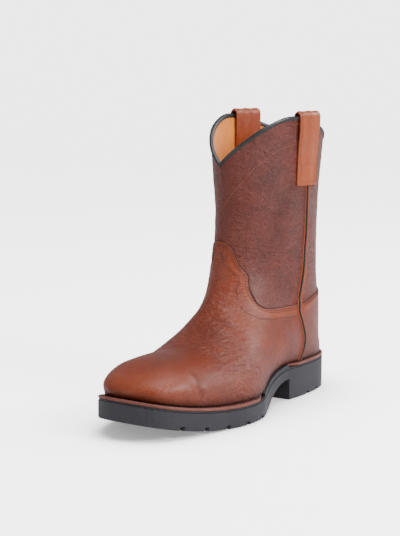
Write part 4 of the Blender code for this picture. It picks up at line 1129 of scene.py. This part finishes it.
# (along, across) in mm
foreLine = [(225, 51), (265, 35), (263, 34), (170, 13.7), (167, 9.6), (284, -19), (282, -25), (251, -31.6),
            (147, -10), (143, 27), (225, 51)]
heelLine = [(89, -5), (87, 27), (66, 33), (30, 34), (14.5, 26), (56, 11), (45, 6.5), (5, -1), (20, -10),
            (58, -14), (89, -5)]
studs = [(236, 38.6), (212, 34), (184.5, 27.7), (260, -21.7), (236, -17), (211, -12.4), (184, -8),
         (75.4, 20.8), (76.3, 2.8), (52.3, 25.6), (45.9, -3.6)]


def onTread(tree, along, across):
    # a place on the rubber's own underside, or None over a groove and past its edge
    spot = tree.ray_cast(Vector(toWorld((across, along, -20 * mm))), Vector((0, 0, 1)))[0]
    flat = spot is not None and abs(spot.z - float(tread(along))) < treadLook["flat"]
    return tuple(spot) if flat else None


def facingDown(path):
    return np.tile((0.0, 0.0, -1.0), (len(path), 1))


def makeTreadLines(tree):
    # thin strips a little proud of the tread along its lines, their black a painted shade for the channels
    # there
    bm = bmesh.new()
    profile = oval(treadLook["line"] / 2, treadLook["proud"], 6)
    for table in (foreLine, heelLine):
        line = spaced(rounded(np.array(table, dtype=float) * mm), treadLook["cuts"])
        stretch = []
        for spot in [onTread(tree, *place) for place in line] + [None]:
            if spot:
                stretch.append(spot)
                continue
            if len(stretch) > 2:
                ribbon(bm, stretch, facingDown(stretch), profile)
            stretch = []
    finishPiece("treadLines", bm, lineRubber, "black_rubber", world=False)


def makeTreadStuds(tree):
    bm = bmesh.new()
    size = Matrix.Diagonal((treadLook["stud"], treadLook["stud"], treadLook["studRise"], 1))
    spots = [onTread(tree, along * mm, across * mm) for along, across in studs]
    for spot in filter(None, spots):
        bmesh.ops.create_uvsphere(bm, u_segments=20, v_segments=8, radius=1.0,
                                  matrix=Matrix.Translation(spot) @ size)
    finishPiece("treadStuds", bm, soleRubber, "black_rubber", world=False, weld=0)


def makeTreadStitches(tree):
    bm = bmesh.new()
    inset = treadLook["stitchIn"]
    along = np.linspace(treadLook["stitchFrom"] * soleLength, soleLength - inset, treadLook["cuts"])
    middle, half = outlineAt(along, (inset,) * 3)
    for edge in (middle + half, middle - half):
        spots = [onTread(tree, a, x) for a, x in zip(along, edge)]
        path = np.array([spot for spot in spots if spot]) + (0, 0, treadLook["stitchSunk"])
        stitches(bm, path, facingDown(path), treadLook["pitch"], treadLook["thread"], treadLook["share"])
    finishPiece("treadStitches", bm, lineRubber, "black_rubber", world=False, weld=0)


def makeTread():
    outsole = nodes["outsole"]
    tree = BVHTree.FromPolygons([outsole.matrix_world @ v.co for v in outsole.data.vertices],
                                [tuple(p.vertices) for p in outsole.data.polygons])
    makeTreadLines(tree)
    makeTreadStuds(tree)
    makeTreadStitches(tree)


makeWelts()
makeTread()
print("welts and tread")

# the solids that stay as they are get their material
for name, material in (("outsole", soleRubber), ("midsole", soleRubber), ("arch_panel", panelRubber),
                       ("insole", insoleLeather)):
    data = nodes[name].data
    data.materials.clear()
    data.materials.append(material)

# the camera at the photograph's angle, in degrees, its distance, and the focal length in pixels of
# a picture this wide; the point it looks at lies aside of the sole's middle, in the picture's plane
view = {"azimuth": 35.07, "elevation": 8.37, "roll": 0.56, "distance": 1.3211, "focalPixels": 1449.8,
        "width": 400, "sensor": 36, "aimRight": -15.99 * mm, "aimUp": -21.12 * mm, "aimHeight": 150 * mm}


def makeCamera():
    azimuth, elevation = math.radians(view["azimuth"]), math.radians(view["elevation"])
    back = Vector((math.sin(azimuth) * math.cos(elevation), -math.cos(azimuth) * math.cos(elevation),
                   math.sin(elevation)))
    right = Vector((math.cos(azimuth), math.sin(azimuth), 0))
    up = back.cross(right)
    roll = math.radians(view["roll"])
    right, up = right * math.cos(roll) + up * math.sin(roll), up * math.cos(roll) - right * math.sin(roll)
    aim = Vector((-boxMiddle, 0, view["aimHeight"])) + right * view["aimRight"] + up * view["aimUp"]
    data = bpy.data.cameras.new("camera")
    camera = bpy.data.objects.new("camera", data)
    bpy.context.scene.collection.objects.link(camera)
    camera.matrix_world = Matrix((
        (right.x, up.x, back.x, 0), (right.y, up.y, back.y, 0), (right.z, up.z, back.z, 0), (0, 0, 0, 1)))
    camera.location = aim + back * view["distance"]
    data.sensor_fit = "HORIZONTAL"
    data.sensor_width = view["sensor"]
    data.lens = view["focalPixels"] / view["width"] * view["sensor"]
    data.clip_start, data.clip_end = 0.05, 30
    bpy.context.scene.camera = camera
    return right, back


lightLook = [
    # name, side (towards the camera's right), towards the camera, up, size, power
    ("keyLight", 1.3, 0.7, 1.0, 0.7, 34.0),
    ("fillLight", -1.3, 0.9, 0.8, 1.0, 7.0),
    ("topLight", 0.2, 0.1, 1.8, 0.8, 18.0),
    ("backLight", 1.2, -1.0, 0.8, 0.6, 10.0),
]


def makeLights(right, near):
    middle = Vector((0, 0, 0.12))
    for name, side, front, up, size, power in lightLook:
        data = bpy.data.lights.new(name, "AREA")
        data.shape = "DISK"
        data.size = size
        data.energy = power
        light = bpy.data.objects.new(name, data)
        bpy.context.scene.collection.objects.link(light)
        light.location = right * side + near * front + Vector((0, 0, up))
        light.rotation_euler = (light.location - middle).to_track_quat("Z", "Y").to_euler()


# sky and paper: the camera sees both a little overexposed, the boot is lit by the sky alone
paperLook = {"sky": "#ececee", "skyLight": 0.5, "skySeen": 3.6, "paper": "#f4f4f6", "glow": 3.4,
             "shadowGlow": 0.3, "shadowReach": 90 * mm, "front": 4.0, "flatTo": 3.0, "bend": 1.5, "top": 6.0,
             "halfWidth": 6.0, "under": 0.1 * mm}


def makeSky():
    world = bpy.data.worlds.new("studio")
    world.use_nodes = True
    tree, sky = world.node_tree, world.node_tree.nodes["Background"]
    sky.inputs["Color"].default_value = srgb(paperLook["sky"])
    seen = addNode(tree, "LightPath")
    strength = addNode(tree, "MapRange", {"To Min": paperLook["skyLight"], "To Max": paperLook["skySeen"]},
                       {"Value": seen.outputs["Is Camera Ray"]})
    tree.links.new(strength.outputs[0], sky.inputs["Strength"])
    bpy.context.scene.world = world


def studioPaper():
    # matt white paper, overexposed
    paper, tree, shader = startMaterial("studioPaper", Roughness=0.9)
    shader.inputs["Base Color"].default_value = srgb(paperLook["paper"])
    shader.inputs["Emission Color"].default_value = srgb("#ffffff")
    seen = addNode(tree, "LightPath")
    # a painted shadow: less of that glow close under the boot, where the paper is occluded, which leaves its
    # soft shadow on the paper
    near = addNode(tree, "AmbientOcclusion", {"Distance": paperLook["shadowReach"]}, samples=8)
    clear = addNode(tree, "MapRange", {"From Min": 0.35, "To Min": paperLook["shadowGlow"],
                                       "To Max": paperLook["glow"]},
                    {"Value": near.outputs["AO"]}, interpolation_type="SMOOTHSTEP")
    glow = addNode(tree, "Math", None, {0: seen.outputs["Is Camera Ray"], 1: clear.outputs[0]},
                   operation="MULTIPLY")
    tree.links.new(glow.outputs[0], shader.inputs["Emission Strength"])
    return paper


def makePaper(right, near):
    # a paper sweep: flat under the boot, curving up far behind it
    flatTo, bend = paperLook["flatTo"], paperLook["bend"]
    edge = [(-paperLook["front"], 0.0)]
    edge += [(flatTo + bend * math.sin(t), bend * (1 - math.cos(t))) for t in np.linspace(0, math.pi / 2, 24)]
    edge += [(flatTo + bend, paperLook["top"])]
    ends = (-paperLook["halfWidth"], paperLook["halfWidth"])
    sheet = [[-near * a + right * b + Vector((0, 0, up - paperLook["under"])) for b in ends]
             for a, up in edge]
    bm = bmesh.new()
    layGrid(bm, sheet)
    bmesh.ops.recalc_face_normals(bm, faces=bm.faces)
    data = bpy.data.meshes.new("floor")
    bm.to_mesh(data)
    bm.free()
    floor = bpy.data.objects.new("floor", data)
    bpy.context.scene.collection.objects.link(floor)
    data.materials.append(studioPaper())
    data.shade_smooth()


right, back = makeCamera()
near = Vector((back.x, back.y, 0)).normalized()
makeLights(right, near)
makeSky()
makePaper(right, near)
print("camera, light and floor")
